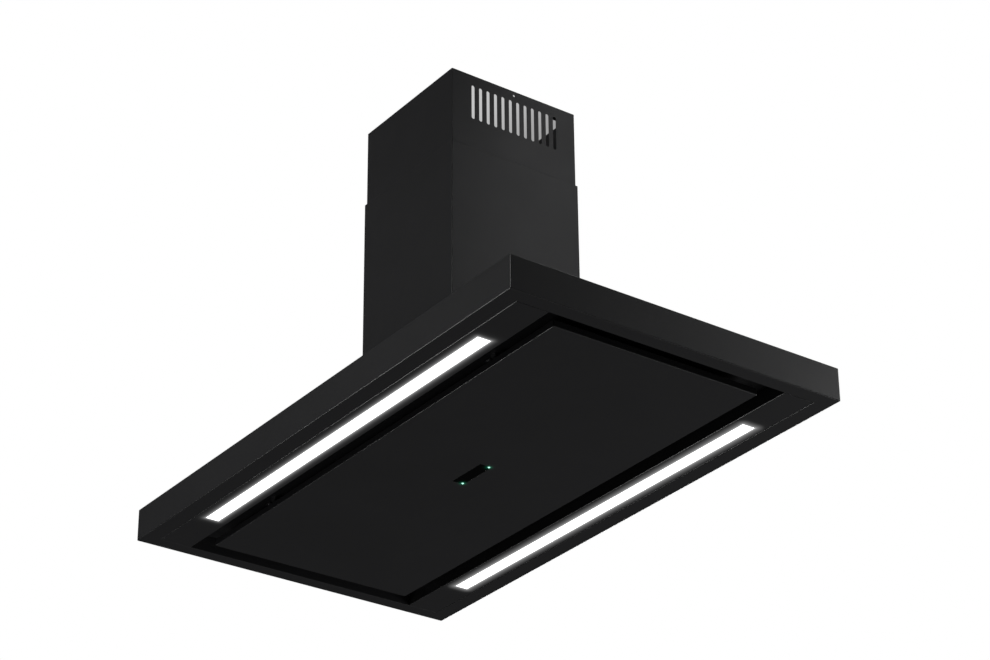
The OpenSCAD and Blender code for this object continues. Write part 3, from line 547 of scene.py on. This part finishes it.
def soft_edge() -> Tree:
    """Normal rounded over sharp edges, and a mask of where they are.

    Mask grows from nothing to one as the cosine between the rounded normal and
    the flat one falls from one to its least.

    Returns:
        The group.
    """
    least = 0.78
    s, got, out = new_group(Effect.EDGE, {"Radius": 0.0006}, {"Normal": "Vector", "Mask": "Float"})
    normal = s.add("Bevel", {"Radius": got["Radius"]}, samples=4).outputs[0]
    flat = s.add("NewGeometry").outputs["Normal"]
    turned = s.add("VectorMath", {0: normal, 1: flat}, operation="DOT_PRODUCT")
    mask = s.ramp(turned.outputs["Value"], least, 1.0, 1.0, 0.0)
    s.fill(out, {"Normal": normal, "Mask": mask})
    return s.tree


BUILDERS: dict[Effect, Callable[[], Tree]] = {
    Effect.COAT: coat_grain,
    Effect.CLOUD: soft_cloud,
    Effect.SPANGLE: zinc_spangle,
    Effect.LINES: brushed_lines,
    Effect.EDGE: soft_edge,
}


class Texture(Enum):
    """What a finish shows close up."""

    COAT = "coat"
    ZINC = "zinc"
    DRAWN = "drawn"
    MOULDED = "moulded"
    FELT = "felt"


# Metals have a pattern of their own; all else has grain and flecks, in tones
# that swing by so much.
METAL_PATTERNS = {Texture.ZINC: Effect.SPANGLE, Texture.DRAWN: Effect.LINES}
FLECK_SWING = {Texture.COAT: 0.12, Texture.MOULDED: 0.12, Texture.FELT: 0.35}

# Size of the patches. Their darkest and palest tone, and the shares of the
# roughness that these two turn into. The bump's strength, and the roughness of
# the clear coat.
CLOUD_SIZE = 0.16
CLOUD_ROUGH = (0.85, 1.15, 1.06, 0.94)
BUMP_STRENGTH = 0.6
COAT_ROUGH = 0.2

# A coat's polish comes in between these two shares of a fold, where so much
# of its bump is left.
FOLD_FADE = (0.05, 0.4)
FOLD_BUMP = 0.08


def new_material(name: str) -> tuple[bpy.types.Material, Shader, Node]:
    """Starts a material.

    Args:
        name: Its name.

    Returns:
        The material, the writer of its tree and its Principled node.
    """
    material = bpy.data.materials.new(name)
    material.use_nodes = True
    return material, Shader(material.node_tree), material.node_tree.nodes["Principled BSDF"]


@dataclass(frozen=True)
class Finish:
    """One finish: a Principled surface with grain, patches and edges."""

    name: str
    colour: Triple
    rough: float
    texture: Texture
    metallic: float = 0.0
    level: float = 0.5
    grain: float = 0.0008
    depth: float = 0.00004
    cloud: float = 0.08
    edge: float = 0.0005
    # How much lighter sharp edges are: partly worn coat, partly a painted highlight.
    edge_wear_and_highlight_tone: float = 1.25
    polish: float = 1.0
    coat: float = 0.0
    fold_coat: float = 0.0
    glow: Triple = (0, 0, 0)
    glow_strength: float = 0.0

    def material(self) -> bpy.types.Material:
        """The material, built at its first use."""
        return bpy.data.materials.get("finish_" + self.name) or self.build()

    def build(self) -> bpy.types.Material:
        """Builds the node tree: base colour, roughness and bump from the effects.

        Where a coat is polished on its folds, these are smoother and glossier.

        Returns:
            The new material.
        """
        material, s, main = new_material("finish_" + self.name)
        place = s.add("TexCoord").outputs["Object"]
        edge = s.group(Effect.EDGE, {"Radius": self.edge}).outputs
        patches = {"Vector": place, "Size": CLOUD_SIZE, "Amount": self.cloud}
        cloud = s.group(Effect.CLOUD, patches).outputs["Tone"]
        tone, height = self.pattern(s, place)
        tone = s.times(tone, cloud)
        # Lighter at sharp edges: partly worn coat, partly a painted highlight.
        tone = s.times(tone, s.ramp(edge["Mask"], 0.0, 1.0, 1.0, self.edge_wear_and_highlight_tone))
        rough = s.times(s.ramp(cloud, *CLOUD_ROUGH), self.rough)
        coat = self.coat
        if self.fold_coat > self.coat:
            fold = self.fold(s)
            rough = s.times(rough, s.ramp(fold, *FOLD_FADE, 1.0, self.polish))
            height = s.times(height, s.ramp(fold, *FOLD_FADE, 1.0, FOLD_BUMP))
            coat = s.ramp(fold, *FOLD_FADE, self.coat, self.fold_coat)
        bump = s.add("Bump", {
            "Strength": BUMP_STRENGTH, "Distance": self.depth, "Height": height,
            "Normal": edge["Normal"],
        })
        glow, strength = self.light(s, place)
        s.fill(main, {
            "Base Color": self.tint(s, place, s.shade(self.colour, tone)),
            "Metallic": self.metallic, "Roughness": rough, "Specular IOR Level": self.level,
            "Coat Weight": coat, "Coat Roughness": COAT_ROUGH, "Normal": bump.outputs[0],
            "Emission Color": glow, "Emission Strength": strength,
        })
        return material

    def pattern(self, s: Shader, place: Socket) -> tuple[Socket, Socket]:
        """Tone and height of the finish's own close-up pattern.

        Args:
            s: The writer of the material's tree.
            place: Object coordinates.

        Returns:
            The tone, around one, and the height.
        """
        effect = METAL_PATTERNS.get(self.texture, Effect.COAT)
        got = s.group(effect, {"Vector": place, "Size": self.grain}).outputs
        if effect is not Effect.COAT:
            return got["Tone"], got["Height"]
        swing = FLECK_SWING[self.texture]
        return s.ramp(got["Fleck"], 0.0, 1.0, 1.0 - swing / 3, 1.0 + swing), got["Height"]

    def fold(self, s: Shader) -> Socket:
        """How far a point is on a fold, from the piece's own attribute."""
        return s.add("Attribute", attribute_name="fold").outputs["Fac"]

    def tint(self, s: Shader, place: Socket, colour: Socket) -> Socket:
        """The base colour's last step, for finishes that add to it."""
        return colour

    def light(self, s: Shader, place: Socket) -> tuple[object, float]:
        """Colour and strength of a lit piece's plain glow."""
        return (*self.glow, 1.0), self.glow_strength


@dataclass(frozen=True)
class SleeveCoat(Finish):
    """Powder coat of the chimney's sleeves, glossier on their upright folds."""

    def fold(self, s: Shader) -> Socket:
        """Twice the product of the normal's X and Y without sign, one at 45 degrees."""
        x, y, _ = s.parts(s.add("NewGeometry").outputs["Normal"])
        return s.calc("ABSOLUTE", s.times(s.times(x, y), 2.0))


@dataclass(frozen=True)
class LampSide(Finish):
    """Powder coat beside a light strip, with the strip's soft halo painted on it
    as glow, and painted shade up the inside walls.

    Each fall and bloom of the painted glow is a strength and a reach, and
    inside is the span of heights over which, up the folds, the painted glow
    fades out and the colour darkens to painted shade.
    """

    strip_y: float = STRIP_Y
    strip_half: Pair = STRIP_HALF
    near: Pair = (0.5, 0.0016)
    wide: Pair = (0.17, 0.0047)
    front_bloom: Pair = (0.04, 0.014)
    back_bloom: Pair = (0.11, 0.02)
    inside: Pair = (-0.7427, -0.7412)
    painted_shade_tone: float = 0.3

    def tint(self, s: Shader, place: Socket, colour: Socket) -> Socket:
        """Painted shade that darkens the coat up the inside walls of the gap."""
        # Painted shade: the colour falls to its darkest tone up the inside walls.
        thin = s.ramp(s.parts(place)[2], *self.inside, 1.0, self.painted_shade_tone)
        return s.mix("MULTIPLY", colour, thin)

    def light(self, s: Shader, place: Socket) -> tuple[object, float]:
        """Painted glow of the strip's halo, falling off with the distance from the strip's border.

        The distance is the length of (|x| - half length, ||y| - strip| - half
        width), each not below zero. The glow is the sum of two falls, each a
        strength times e to the minus distance over its own reach, and a bloom
        that falls smoothly from its strength to nothing at its reach and is
        wider at the back strip. It fades out up the folds, so that the inside
        walls stay dark.

        Args:
            s: The writer of the material's tree.
            place: Object coordinates.

        Returns:
            The glow's colour and its strength.
        """
        # Painted glow: the strip's halo laid on the coat as emission.
        x, y, z = s.parts(place)
        dx = s.calc("MAXIMUM", s.beyond(x, self.strip_half[0]))
        dy = s.calc("MAXIMUM", s.beyond(s.beyond(y, self.strip_y), self.strip_half[1]))
        away = s.length(dx, dy)
        falls = [
            s.times(s.fall(away, reach), strength) for strength, reach in (self.near, self.wide)
        ]
        front, back = (
            s.ramp(away, 0.0, reach, strength, 0.0)
            for strength, reach in (self.front_bloom, self.back_bloom)
        )
        at_back = s.calc("GREATER_THAN", y)
        bloom = s.calc("ADD", front, s.times(at_back, s.calc("SUBTRACT", back, front)))
        total = s.calc("ADD", s.calc("ADD", *falls), bloom)
        below = s.ramp(z, *self.inside, 1.0, 0.0)
        return s.shade((1.0, 1.0, 1.0), s.times(total, below)), 1.0


@dataclass(frozen=True)
class LampGlow(Finish):
    """Black surface round the two status lamps, with their pale core and small green halo painted
    on it as glow.
    """

    lamp: Pair = (0.041, 0.0085)
    core: Pair = (0.0012, 0.0031)
    core_colour: Triple = (0.6, 1.0, 0.84)
    ring_reach: float = 0.002
    ring_colour: Triple = (0.02, 0.5, 0.27)

    def light(self, s: Shader, place: Socket) -> tuple[object, float]:
        """Painted glow by the distance from the nearer lamp.

        The distance is the length of (|x| - lamp x, y - lamp y). A pale core
        fades out between two radii, and a green ring falls with e to the
        minus distance over its reach.

        Args:
            s: The writer of the material's tree.
            place: Object coordinates.

        Returns:
            The glow's colour and its strength.
        """
        x, y, _ = s.parts(place)
        away = s.length(s.beyond(x, self.lamp[0]), s.calc("SUBTRACT", y, self.lamp[1]))
        core = s.shade(self.core_colour, s.ramp(away, *self.core, 1.0, 0.0))
        ring = s.shade(self.ring_colour, s.fall(away, self.ring_reach))
        return s.mix("ADD", core, ring), 1.0


@dataclass(frozen=True)
class LitStrip(Finish):
    """Opal diffuser with the faint row of its light sources behind it."""

    pitch: float = 0.031
    dim: float = 0.9

    def light(self, s: Shader, place: Socket) -> tuple[object, float]:
        """Glow with a slow ripple of the chips' pitch along the strip."""
        wave = s.calc("COSINE", s.times(s.parts(place)[0], 2 * math.pi / self.pitch))
        return s.shade(self.glow, s.ramp(wave, -1.0, 1.0, self.dim, 1.0)), self.glow_strength


POWDER = {
    "colour": (0.021, 0.021, 0.0225), "rough": 0.44, "texture": Texture.COAT, "level": 0.35,
    "edge": 0.0008, "edge_wear_and_highlight_tone": 1.6, "polish": 0.62, "fold_coat": 1.0,
}
METAL = {"texture": Texture.DRAWN, "metallic": 1.0}
MOULDED = {"texture": Texture.MOULDED}
FINISHES: dict[str, Finish] = {finish.name: finish for finish in (
    Finish("black_coat", **POWDER),
    # The panel's coat, with the lamps' green halo painted round the window as glow.
    LampGlow("black_coat_panel", **POWDER, core=(0.0001, 0.0002)),
    SleeveCoat("sleeve_coat", **POWDER),
    # The trays' coat, with the strips' halo painted on it as glow and painted shade up the inside
    # walls.
    LampSide("lamp_side", **POWDER),
    Finish(
        "galvanised", (0.5, 0.51, 0.52), 0.42, Texture.ZINC, metallic=0.9, grain=0.009,
        depth=0.00003,
    ),
    Finish("bright_zinc", (0.58, 0.58, 0.6), 0.28, **METAL, grain=0.0004, depth=0.00001),
    Finish("satin_alu", (0.66, 0.67, 0.68), 0.34, **METAL, grain=0.0006, depth=0.00001),
    Finish("mesh_alu", (0.68, 0.68, 0.69), 0.3, **METAL, depth=0.00002),
    Finish("shaft_steel", (0.56, 0.56, 0.57), 0.2, **METAL, grain=0.0003, depth=0.000006),
    Finish("motor_steel", (0.055, 0.055, 0.06), 0.36, Texture.COAT, grain=0.0009),
    LitStrip(
        "opal_light", (0.85, 0.85, 0.84), 0.4, **MOULDED, glow=(1.0, 0.995, 0.98),
        glow_strength=3.0,
    ),
    Finish(
        "lamp_green", (0.12, 0.6, 0.35), 0.25, **MOULDED, glow=(0.5, 1.0, 0.8),
        glow_strength=1.4, depth=0.00001,
    ),
    # The window's glass, with the lamps' pale core and green halo painted on it as glow.
    LampGlow(
        "black_gloss", (0.0008, 0.0008, 0.001), 0.16, **MOULDED, level=0.03, depth=0.000003,
        cloud=0.03, edge_wear_and_highlight_tone=1.0,
    ),
    Finish("board_white", (0.78, 0.8, 0.76), 0.4, **MOULDED, depth=0.00001),
    Finish("board_green", (0.02, 0.13, 0.045), 0.35, **MOULDED, depth=0.00002, coat=0.3),
    Finish("black_plastic", (0.022, 0.022, 0.023), 0.5, **MOULDED, grain=0.0006),
    Finish("grey_plastic", (0.17, 0.18, 0.19), 0.5, **MOULDED, grain=0.0009),
    Finish("white_plastic", (0.74, 0.74, 0.71), 0.38, **MOULDED, grain=0.0009, depth=0.00002),
    Finish("black_rubber", (0.02, 0.02, 0.02), 0.75, **MOULDED, grain=0.0005, level=0.3),
    Finish(
        "felt_strip", (0.035, 0.035, 0.037), 0.95, Texture.FELT, grain=0.0007, depth=0.0002,
        level=0.1,
    ),
)}
SLOT_OF = {part["node"]: part["material_slot"] for part in frame["record"]["subparts"]}


def dress(*nodes: str, finish: str = "") -> None:
    """Gives CAD nodes that keep their shape the finish of their slot.

    Args:
        nodes: The nodes' names.
        finish: A finish of their own in place of the slot's.
    """
    for name in nodes:
        chosen = finish or SLOT_OF[name]
        materials = frame["nodes"][name].data.materials
        materials.clear()
        materials.append(FINISHES[chosen].material())
        LOG.info("dressed %s as %s", name, chosen)


# -------------------------------- sub-assemblies


@dataclass
class SheetPart:
    """Sizes that the parts in the mouth share.

    They are the height of the flat underside, the sheet and the outer radius
    of its folds, the heights of lips and air deck above the underside, and
    how far out the light trays' inner walls are.
    """

    z: float = -0.7435
    thick: float = 0.0012
    fold: float = 0.0016
    lip: float = 0.012
    deck: float = 0.033
    tray_in: float = 0.2505


@dataclass
class Canopy(SheetPart):
    """The folded canopy body with its flange, lips and end ledges."""

    half: Pair = (0.6, 0.35)
    high: float = 0.0635
    mouth: Pair = (0.5695, 0.316)
    lip_fold: float = 0.0009
    throat: float = 0.106
    corner: float = 0.0018
    least_corner: float = 0.0004
    ledge: float = 0.012
    ledge_fold: float = 0.0012

    def build(self) -> None:
        """Makes the skin and the two end ledges as one piece.

        The skin's profile runs from the throat over the top, down the side,
        in along the flange and up the lip, then back inside the sheet. It is
        carried round as rounded rectangles.
        """
        t, h, small, top = self.thick, self.high, self.fold - self.thick, self.deck - self.thick
        (hx, hy), (mx, my), throat = self.half, self.mouth, (self.throat, self.throat)
        outer = [(*throat, h), (hx, hy, h), (hx, hy, 0), (mx, my, 0), (mx, my, self.lip)]
        inner = [
            (mx + t, my + t, self.lip), (mx + t, my + t, t), (hx - t, hy - t, t),
            (hx - t, hy - t, h - t), (*throat, h - t),
        ]
        radii = [0, self.fold, self.fold, self.lip_fold, 0, 0, small, small, small, 0]
        line = folded(outer + inner, radii, True)
        corner = np.clip(self.corner - (hx - line[:, 0]), self.least_corner, None)
        mesh = Mesh().add(*rings(line, corner, (0, 0, self.z)))
        wall = [(mx, self.lip), (mx, self.deck), (mx + self.ledge, self.deck)]
        back = [(mx + t, self.lip), (mx + t, top), (mx + self.ledge, top)]
        for side in (-1, 1):
            lines = [
                folded(p, [0, r, 0], False, 3) * (side, 1) + (0, self.z)
                for p, r in ((wall, self.ledge_fold), (back, small))
            ]
            mesh.add(*pressed(*lines, [-self.tray_in, self.tray_in], along=1))
        mesh.make("canopy_skin", "hood", "black_coat", "canopy_shell")
        dress("carrier_plate")


@dataclass
class LightBars(SheetPart):
    """Two folded trays, each with a flush light strip.

    The strip's face and the flange behind it are each a reach beyond the
    tray's opening, two heights above the underside and a radius of the edges.
    """

    tray_out: float = 0.3155
    half_l: float = 0.569
    ledge: float = 0.0115
    strip: Pair = STRIP_HALF
    strip_y: float = STRIP_Y
    corner: float = 0.0004
    face: tuple[float, float, float, float] = (-0.0002, 0.0, 0.00195, 0.00025)
    flange: tuple[float, float, float, float] = (0.0034, 0.0013, 0.0026, 0.0002)

    def tray(self, side: int) -> Mesh:
        """One tray: ledge, tall upstand, flat bottom with the strip's opening, low upstand.

        Args:
            side: 1 for the back tray and -1 for the front one.

        Returns:
            Its mesh.
        """
        t, a, b, high = self.thick, self.tray_in, self.tray_out, self.deck
        near, far = self.strip_y - self.strip[1], self.strip_y + self.strip[1]
        outer = [
            (a + self.ledge, high), (a, high), (a, 0), (near, 0), (far, 0), (b, 0), (b, self.lip),
        ]
        inner = [
            (a + self.ledge, high - t), (a + t, high - t), (a + t, t), (near, t), (far, t),
            (b - t, t), (b - t, self.lip),
        ]
        lines = [
            folded(p, [0, r, r, 0, 0, r, 0], False, 4) * (side, 1) + (0, self.z)
            for p, r in ((outer, self.fold), (inner, self.fold - t))
        ]

        def hole(x: Array, y: Array) -> Array:
            """Cells inside the strip's opening, which lies in the flat bottom only."""
            return (np.abs(x) < self.strip[0]) & (np.abs(np.abs(y) - self.strip_y) < self.strip[1])

        stations = [-self.half_l, -self.strip[0], self.strip[0], self.half_l]
        return Mesh().add(*pressed(*lines, stations, hole=hole))

    def diffuser(self, side: int) -> Mesh:
        """The strip's flush face and the flange that rests inside the tray.

        Args:
            side: 1 for the back tray and -1 for the front one.

        Returns:
            Its mesh.
        """
        (hx, hy), z, centre = self.strip, self.z, (0, side * self.strip_y)
        mesh = Mesh()
        for reach, low, high, edge in (self.face, self.flange):
            mesh.add(*slab(hx + reach, hy + reach, z + low, z + high, self.corner, edge, centre))
        return mesh

    def build(self) -> None:
        """Makes trays and diffusers, and dresses what lies behind them."""
        for side, name in ((1, "back"), (-1, "front")):
            tray, strip = f"light_tray_{name}", f"led_diffuser_{name}"
            # The trays' finish paints the strips' halo as glow and paints shade up the inside
            # walls.
            self.tray(side).make(tray + "_skin", "hood", "black_coat", tray, finish="lamp_side")
            self.diffuser(side).make(f"light_strip_{name}", "hood", "opal_light", strip)
            dress(f"led_channel_{name}", f"led_board_{name}")
        dress("tray_screws")


@dataclass
class SuctionPanel(SheetPart):
    """The folded panel that closes the mouth but for its suction gap."""

    half: Pair = (0.536, 0.217)
    rim: float = 0.013
    hem: float = 0.012
    corner: float = 0.0018
    least_corner: float = 0.0006
    window: Pair = (0.044, 0.0125)
    window_edge: float = 0.0003

    def build(self) -> None:
        """Makes the panel from the window's edge out, up the rim and in along the hem."""
        t, high, small = self.thick, self.rim, self.fold - self.thick
        (hx, hy), (wx, wy) = self.half, self.window
        ex, ey = hx - self.hem, hy - self.hem
        outer = [(wx, wy, 0), (hx, hy, 0), (hx, hy, high), (ex, ey, high)]
        inner = [(ex, ey, high - t), (hx - t, hy - t, high - t), (hx - t, hy - t, t), (wx, wy, t)]
        radii = [self.window_edge, self.fold, self.fold, 0, 0, small, small, 0]
        line = folded(outer + inner, radii, True)
        corner = np.clip(self.corner - (hx - line[:, 0]), self.least_corner, None)
        mesh = Mesh().add(*rings(line, corner, (0, 0, self.z)))
        # Its finish paints the lamps' green halo round the window as glow.
        mesh.make("suction_panel_skin", "suction_panel", "black_coat_panel", "suction_panel")
        dress(
            "panel_stiffeners", "hinge_leaves", "hinge_brackets", "hinge_pins",
            "magnet_brackets", "panel_magnets",
        )


@dataclass
class Sensor(SheetPart):
    """Touch-free sensor window with its two status lamps."""

    half: Pair = (0.0435, 0.012)
    up: float = 0.0003
    glass: float = 0.0026
    corner: float = 0.0009
    edge: float = 0.0003

    def build(self) -> None:
        """Makes the glossy window and dresses the rest."""
        low = self.z + self.up
        plate = slab(*self.half, low, low + self.glass, self.corner, self.edge)
        # Its finish paints the lamps' pale core and green halo on the glass as glow.
        Mesh().add(*plate).make("sensor_glass", "hood", "black_gloss", "sensor_window")
        dress("sensor_housing", "status_lamps")


@dataclass
class Filters(SheetPart):
    """Two grease filters of expanded metal in their frames.

    The strands' layers lie at two shares of the mesh's height and leave a
    bare strip at its outside. The notch is the half width and depth that the
    latch needs at the front. Heights are above the air deck's sheet.
    """

    centre: float = 0.15295
    half: Pair = (0.1298, 0.1488)
    high: float = 0.0066
    border: float = 0.008
    notch: Pair = (0.0157, 0.0208)
    pitch: float = 0.006
    wave: float = 0.009
    wave_points: int = 6
    strand: Pair = (0.0012, 0.0009)
    lift: float = 0.0005
    layers: Pair = (0.3, 0.7)
    bare: float = 0.0048

    def strands(self, layer: int) -> Surface:
        """Strands of one layer of expanded metal.

        Strand s runs along Y at x = s pitch + (-1)^s (pitch / 2 - half a
        strand) cos(2 pi y / wave), so that neighbours touch and part in
        turn, and rises and falls with the same cosine times its lift. Its
        section is a flat rectangle.

        Args:
            layer: The layer, counted from below; odd ones are set off by half a mesh.

        Returns:
            Points and quads of the closed strands.
        """
        hx, hy = self.half[0] - self.bare, self.half[1] - self.bare
        s = np.arange(-int(hx / self.pitch) + 1, int(hx / self.pitch))
        y = np.linspace(-hy, hy, int(2 * hy / self.wave * self.wave_points))
        turn = 2 * math.pi * y / self.wave
        sway = (self.pitch - self.strand[0]) / 2 * np.cos(turn + layer * math.pi)
        middle = (s[:, None] + 0.5 * layer) * self.pitch
        x = middle + np.where(s[:, None] % 2, -1, 1) * sway[None, :]
        z = self.high * self.layers[layer] + self.lift * np.cos(turn)
        cx = np.array([-1, 1, 1, -1]) * self.strand[0] / 2
        cz = np.array([-1, -1, 1, 1]) * self.strand[1] / 2
        grid = np.empty((len(s), len(y), 4, 3))
        grid[..., 0] = x[..., None] + cx
        grid[..., 1] = y[None, :, None]
        grid[..., 2] = z[None, :, None] + cz
        last = 4 * (len(y) - 1)
        ends = [[1, 2, 3, 0], [last + 3, last + 2, last + 1, last]]
        one = np.concatenate([grid_quads(len(y), 4, False, True), ends])
        quads = (one[None] + np.arange(len(s))[:, None, None] * 4 * len(y)).reshape(-1, 4)
        return grid.reshape(-1, 3), quads

    def rim(self) -> Surface:
        """Flat border all round, with a notch for the latch at the front.

        Returns:
            Points and quads of the closed surface.
        """
        (hx, hy), (gap, deep), b = self.half, self.notch, self.border
        x, y = [-hx, b - hx, -gap, gap, hx - b, hx], [-hy, b - hy, deep - hy, hy - b, hy]
        flat = np.stack([*np.meshgrid(x, y, indexing="ij"), np.zeros((len(x), len(y)))], -1)
        kept = np.ones((len(x) - 1, len(y) - 1), bool)
        kept[1:4, 1:3] = False
        kept[2, 0] = False
        return sheet(flat, flat + (0, 0, self.high), kept)

    def build(self) -> None:
        """Makes both meshes, less the strands in the notch, and dresses the frames."""
        (gap, deep), z = self.notch, self.z + self.deck + self.thick
        for side, name in ((1, "right"), (-1, "left")):
            mesh = Mesh().add(*self.rim())
            for layer in range(len(self.layers)):
                points, quads = self.strands(layer)
                x, y = points[quads][..., 0], points[quads][..., 1]
                mesh.add(points, quads[(np.abs(x).max(1) > gap) | (y.min(1) > deep - self.half[1])])
            mesh.points = [p + (side * self.centre, 0, z) for p in mesh.points]
            mesh.make(f"filter_mesh_{name}_strands", "hood", "mesh_alu", f"filter_mesh_{name}")
            dress(f"filter_frame_{name}", f"filter_latch_{name}")
        dress("air_deck", "deck_screws")


@dataclass
class Chimney:
    """The two sleeves and what hangs them."""

    sleeves: tuple[str, ...] = ("upper_chimney", "lower_chimney")
    nodes: tuple[str, ...] = (
        "chimney_glides", "chimney_spacers", "upper_posts", "upper_tie_frame", "height_bolts",
        "lower_posts", "lower_tie_frame", "post_bolts",
    )

    def build(self) -> None:
        """Dresses the sleeves, posts, ties and bolts."""
        dress(*self.sleeves, finish="sleeve_coat")
        dress(*self.nodes)


@dataclass
class Blower:
    """Case, scroll, wheel, motor and outlet."""

    nodes: tuple[str, ...] = (
        "blower_case", "case_screws", "scroll_half_left", "scroll_half_right", "fan_wheel",
        "motor_shaft", "motor_body", "motor_bracket", "motor_dampers", "capacitor",
        "capacitor_clip", "outlet_collar", "flap_spindles", "return_flap_front",
        "return_flap_back", "cable_gland",
    )

    def build(self) -> None:
        """Dresses the blower's parts."""
        dress(*self.nodes)


@dataclass
class Electrics:
    """Control box and light driver on the air deck."""

    nodes: tuple[str, ...] = ("control_box", "control_lid", "control_board", "led_driver")

    def build(self) -> None:
        """Dresses the boxes and the board."""
        dress(*self.nodes)


# -------------------------------- studio


def level_square(name: str, half: float, z: float, up: bool) -> bpy.types.Object:
    """One level square round the middle.

    Args:
        name: Its name.
        half: Half its side.
        z: Its height.
        up: Whether it faces up.

    Returns:
        The object, linked to the scene.
    """
    points = [(-half, -half, z), (half, -half, z), (half, half, z), (-half, half, z)]
    mesh = bpy.data.meshes.new(name)
    mesh.from_pydata(points, [], [(0, 1, 2, 3) if up else (0, 3, 2, 1)])
    square = bpy.data.objects.new(name, mesh)
    bpy.context.scene.collection.objects.link(square)
    return square


@dataclass(frozen=True)
class Softbox:
    """One large soft light that looks at a point."""

    name: str
    place: Triple
    size: Pair
    watts: float
    target: Triple = (0.0, 0.0, -0.6)

    def light(self) -> None:
        """Makes the area light, turned from its place to its target."""
        data = bpy.data.lights.new(self.name, "AREA")
        data.shape, data.size, data.size_y, data.energy = "RECTANGLE", *self.size, self.watts
        lamp = bpy.data.objects.new(self.name, data)
        lamp.location = self.place
        x, y, z = np.array(self.target) - np.array(self.place)
        lamp.rotation_euler = (
            math.atan2(math.hypot(x, y), -z), 0, math.atan2(y, x) - math.pi / 2,
        )
        lamp.visible_camera = False
        bpy.context.scene.collection.objects.link(lamp)
        LOG.info("light %s, %.0f W", self.name, self.watts)


@dataclass
class Studio:
    """White studio: camera of the photograph, soft lights and a pale floor.

    The floor's cloud is the size and amount of its patches. The ceiling's
    span lies along Y, and its tones are the greys at the span's two ends.
    """

    eye: Triple = (3.76964802, -2.68029669, -2.92841729)
    turn: Triple = (118.19667, 0.43948, 54.27821)
    lens: float = 103.1387
    sensor: float = 36.0
    view_end: float = 200.0
    floor_z: float = -7.8
    floor_half: float = 40.0
    floor_grey: float = 0.82
    floor_cloud: Pair = (6.0, 0.015)
    floor_rough: float = 0.7
    floor_shine: float = 0.9
    ceiling_z: float = -0.0006
    ceiling_half: float = 0.1413
    ceiling_span: Pair = (-0.05, 0.17)
    ceiling_tones: Pair = (0.56, 0.34)
    ambient: float = 0.055
    boxes: tuple[Softbox, ...] = (
        Softbox("right_far", (1.3, 1.6, -0.2), (0.6, 0.6), 6.3),
        Softbox("right_band", (0.75, 0.52, 0.1), (0.2, 0.8), 0.93),
        Softbox("front_low", (-0.5, -2.5, -0.3), (1.5, 1.5), 11.5),
        Softbox("left_gloss", (-3.0, -2.2, 1.2), (2.0, 2.0), 1.3),
        Softbox("under_back", (0.5, 3.5, -2.6), (2.0, 2.0), 56),
        Softbox("left_folds", (-2.5, -2.35, -2.8), (1.0, 1.0), 18),
        Softbox("corner_fold", (3.2, -3.85, 1.75), (0.6, 0.6), 20),
        Softbox("far_back", (-4.5, 4.0, 0.5), (2.5, 2.5), 90),
        Softbox("overhead", (0.4, -0.5, 4.5), (3.0, 3.0), 80),
    )

    def camera(self) -> None:
        """Sets the camera at the photograph's angle, with no shift."""
        data = bpy.data.cameras.new("photo_camera")
        data.lens, data.sensor_width, data.sensor_fit = self.lens, self.sensor, "HORIZONTAL"
        data.clip_end = self.view_end
        eye = bpy.data.objects.new("photo_camera", data)
        eye.location = self.eye
        eye.rotation_euler = [math.radians(a) for a in self.turn]
        bpy.context.scene.collection.objects.link(eye)
        bpy.context.scene.camera = eye

    def floor(self) -> None:
        """A plain pale floor far below, so that views from beneath stay free.

        It is lit for the camera alone, and the hood gets only its soft bounce.
        """
        plane = level_square("floor", self.floor_half, self.floor_z, True)
        material, s, main = new_material("pale_floor")
        size, amount = self.floor_cloud
        place = s.add("TexCoord").outputs["Object"]
        cloud = s.group(Effect.CLOUD, {"Vector": place, "Size": size, "Amount": amount})
        pale = s.shade((self.floor_grey,) * 3, cloud.outputs["Tone"])
        seen = s.times(s.add("LightPath").outputs["Is Camera Ray"], self.floor_shine)
        s.fill(main, {
            "Base Color": pale, "Emission Color": pale, "Emission Strength": seen,
            "Roughness": self.floor_rough,
        })
        plane.data.materials.append(material)

    def ceiling(self) -> None:
        """The shaded patch of ceiling inside the chimney's top, seen through the slots from below.

        It faces down, shows to the camera alone and is clear from above. Its
        grey falls smoothly along Y between the two ends of the span.
        """
        patch = level_square("ceiling_patch", self.ceiling_half, self.ceiling_z, False)
        material, s, _ = new_material("ceiling_shade")
        s.tree.nodes.clear()
        y = s.parts(s.add("TexCoord").outputs["Object"])[1]
        grey = s.add("Emission", {"Color": s.ramp(y, *self.ceiling_span, *self.ceiling_tones)})
        clear = s.add("BsdfTransparent")
        seen = s.add("LightPath").outputs["Is Camera Ray"]
        below = s.calc("SUBTRACT", 1.0, s.add("NewGeometry").outputs["Backfacing"])
        values = {0: s.times(seen, below), 1: clear.outputs[0], 2: grey.outputs[0]}
        s.add("OutputMaterial", {"Surface": s.add("MixShader", values).outputs[0]})
        patch.data.materials.append(material)

    def world(self) -> None:
        """White background for the camera and a dimmer sky for the light."""
        world = bpy.data.worlds.new("studio")
        bpy.context.scene.world = world
        world.use_nodes = True
        s = Shader(world.node_tree)
        seen = s.add("LightPath").outputs["Is Camera Ray"]
        strength = s.calc("MAXIMUM", seen, self.ambient)
        s.fill(s.tree.nodes["Background"], {"Color": (1, 1, 1, 1), "Strength": strength})
        bpy.context.scene.view_settings.view_transform = "Standard"

    def build(self) -> None:
        """Makes camera, world, floor, ceiling patch and lights."""
        self.camera()
        self.world()
        self.floor()
        self.ceiling()
        for box in self.boxes:
            box.light()


def write_sizes() -> None:
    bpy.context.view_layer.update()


def main() -> None:
    """Builds studio and sub-assemblies in order."""
    logging.basicConfig(level=logging.INFO, format="%(name)s: %(message)s")
    parts = (
        Studio(), Canopy(), LightBars(), SuctionPanel(), Sensor(), Filters(), Chimney(), Blower(),
        Electrics(),
    )
    for part in parts:
        part.build()
        LOG.info("finished %s", type(part).__name__)
    write_sizes()


if __name__ == "__main__":
    main()
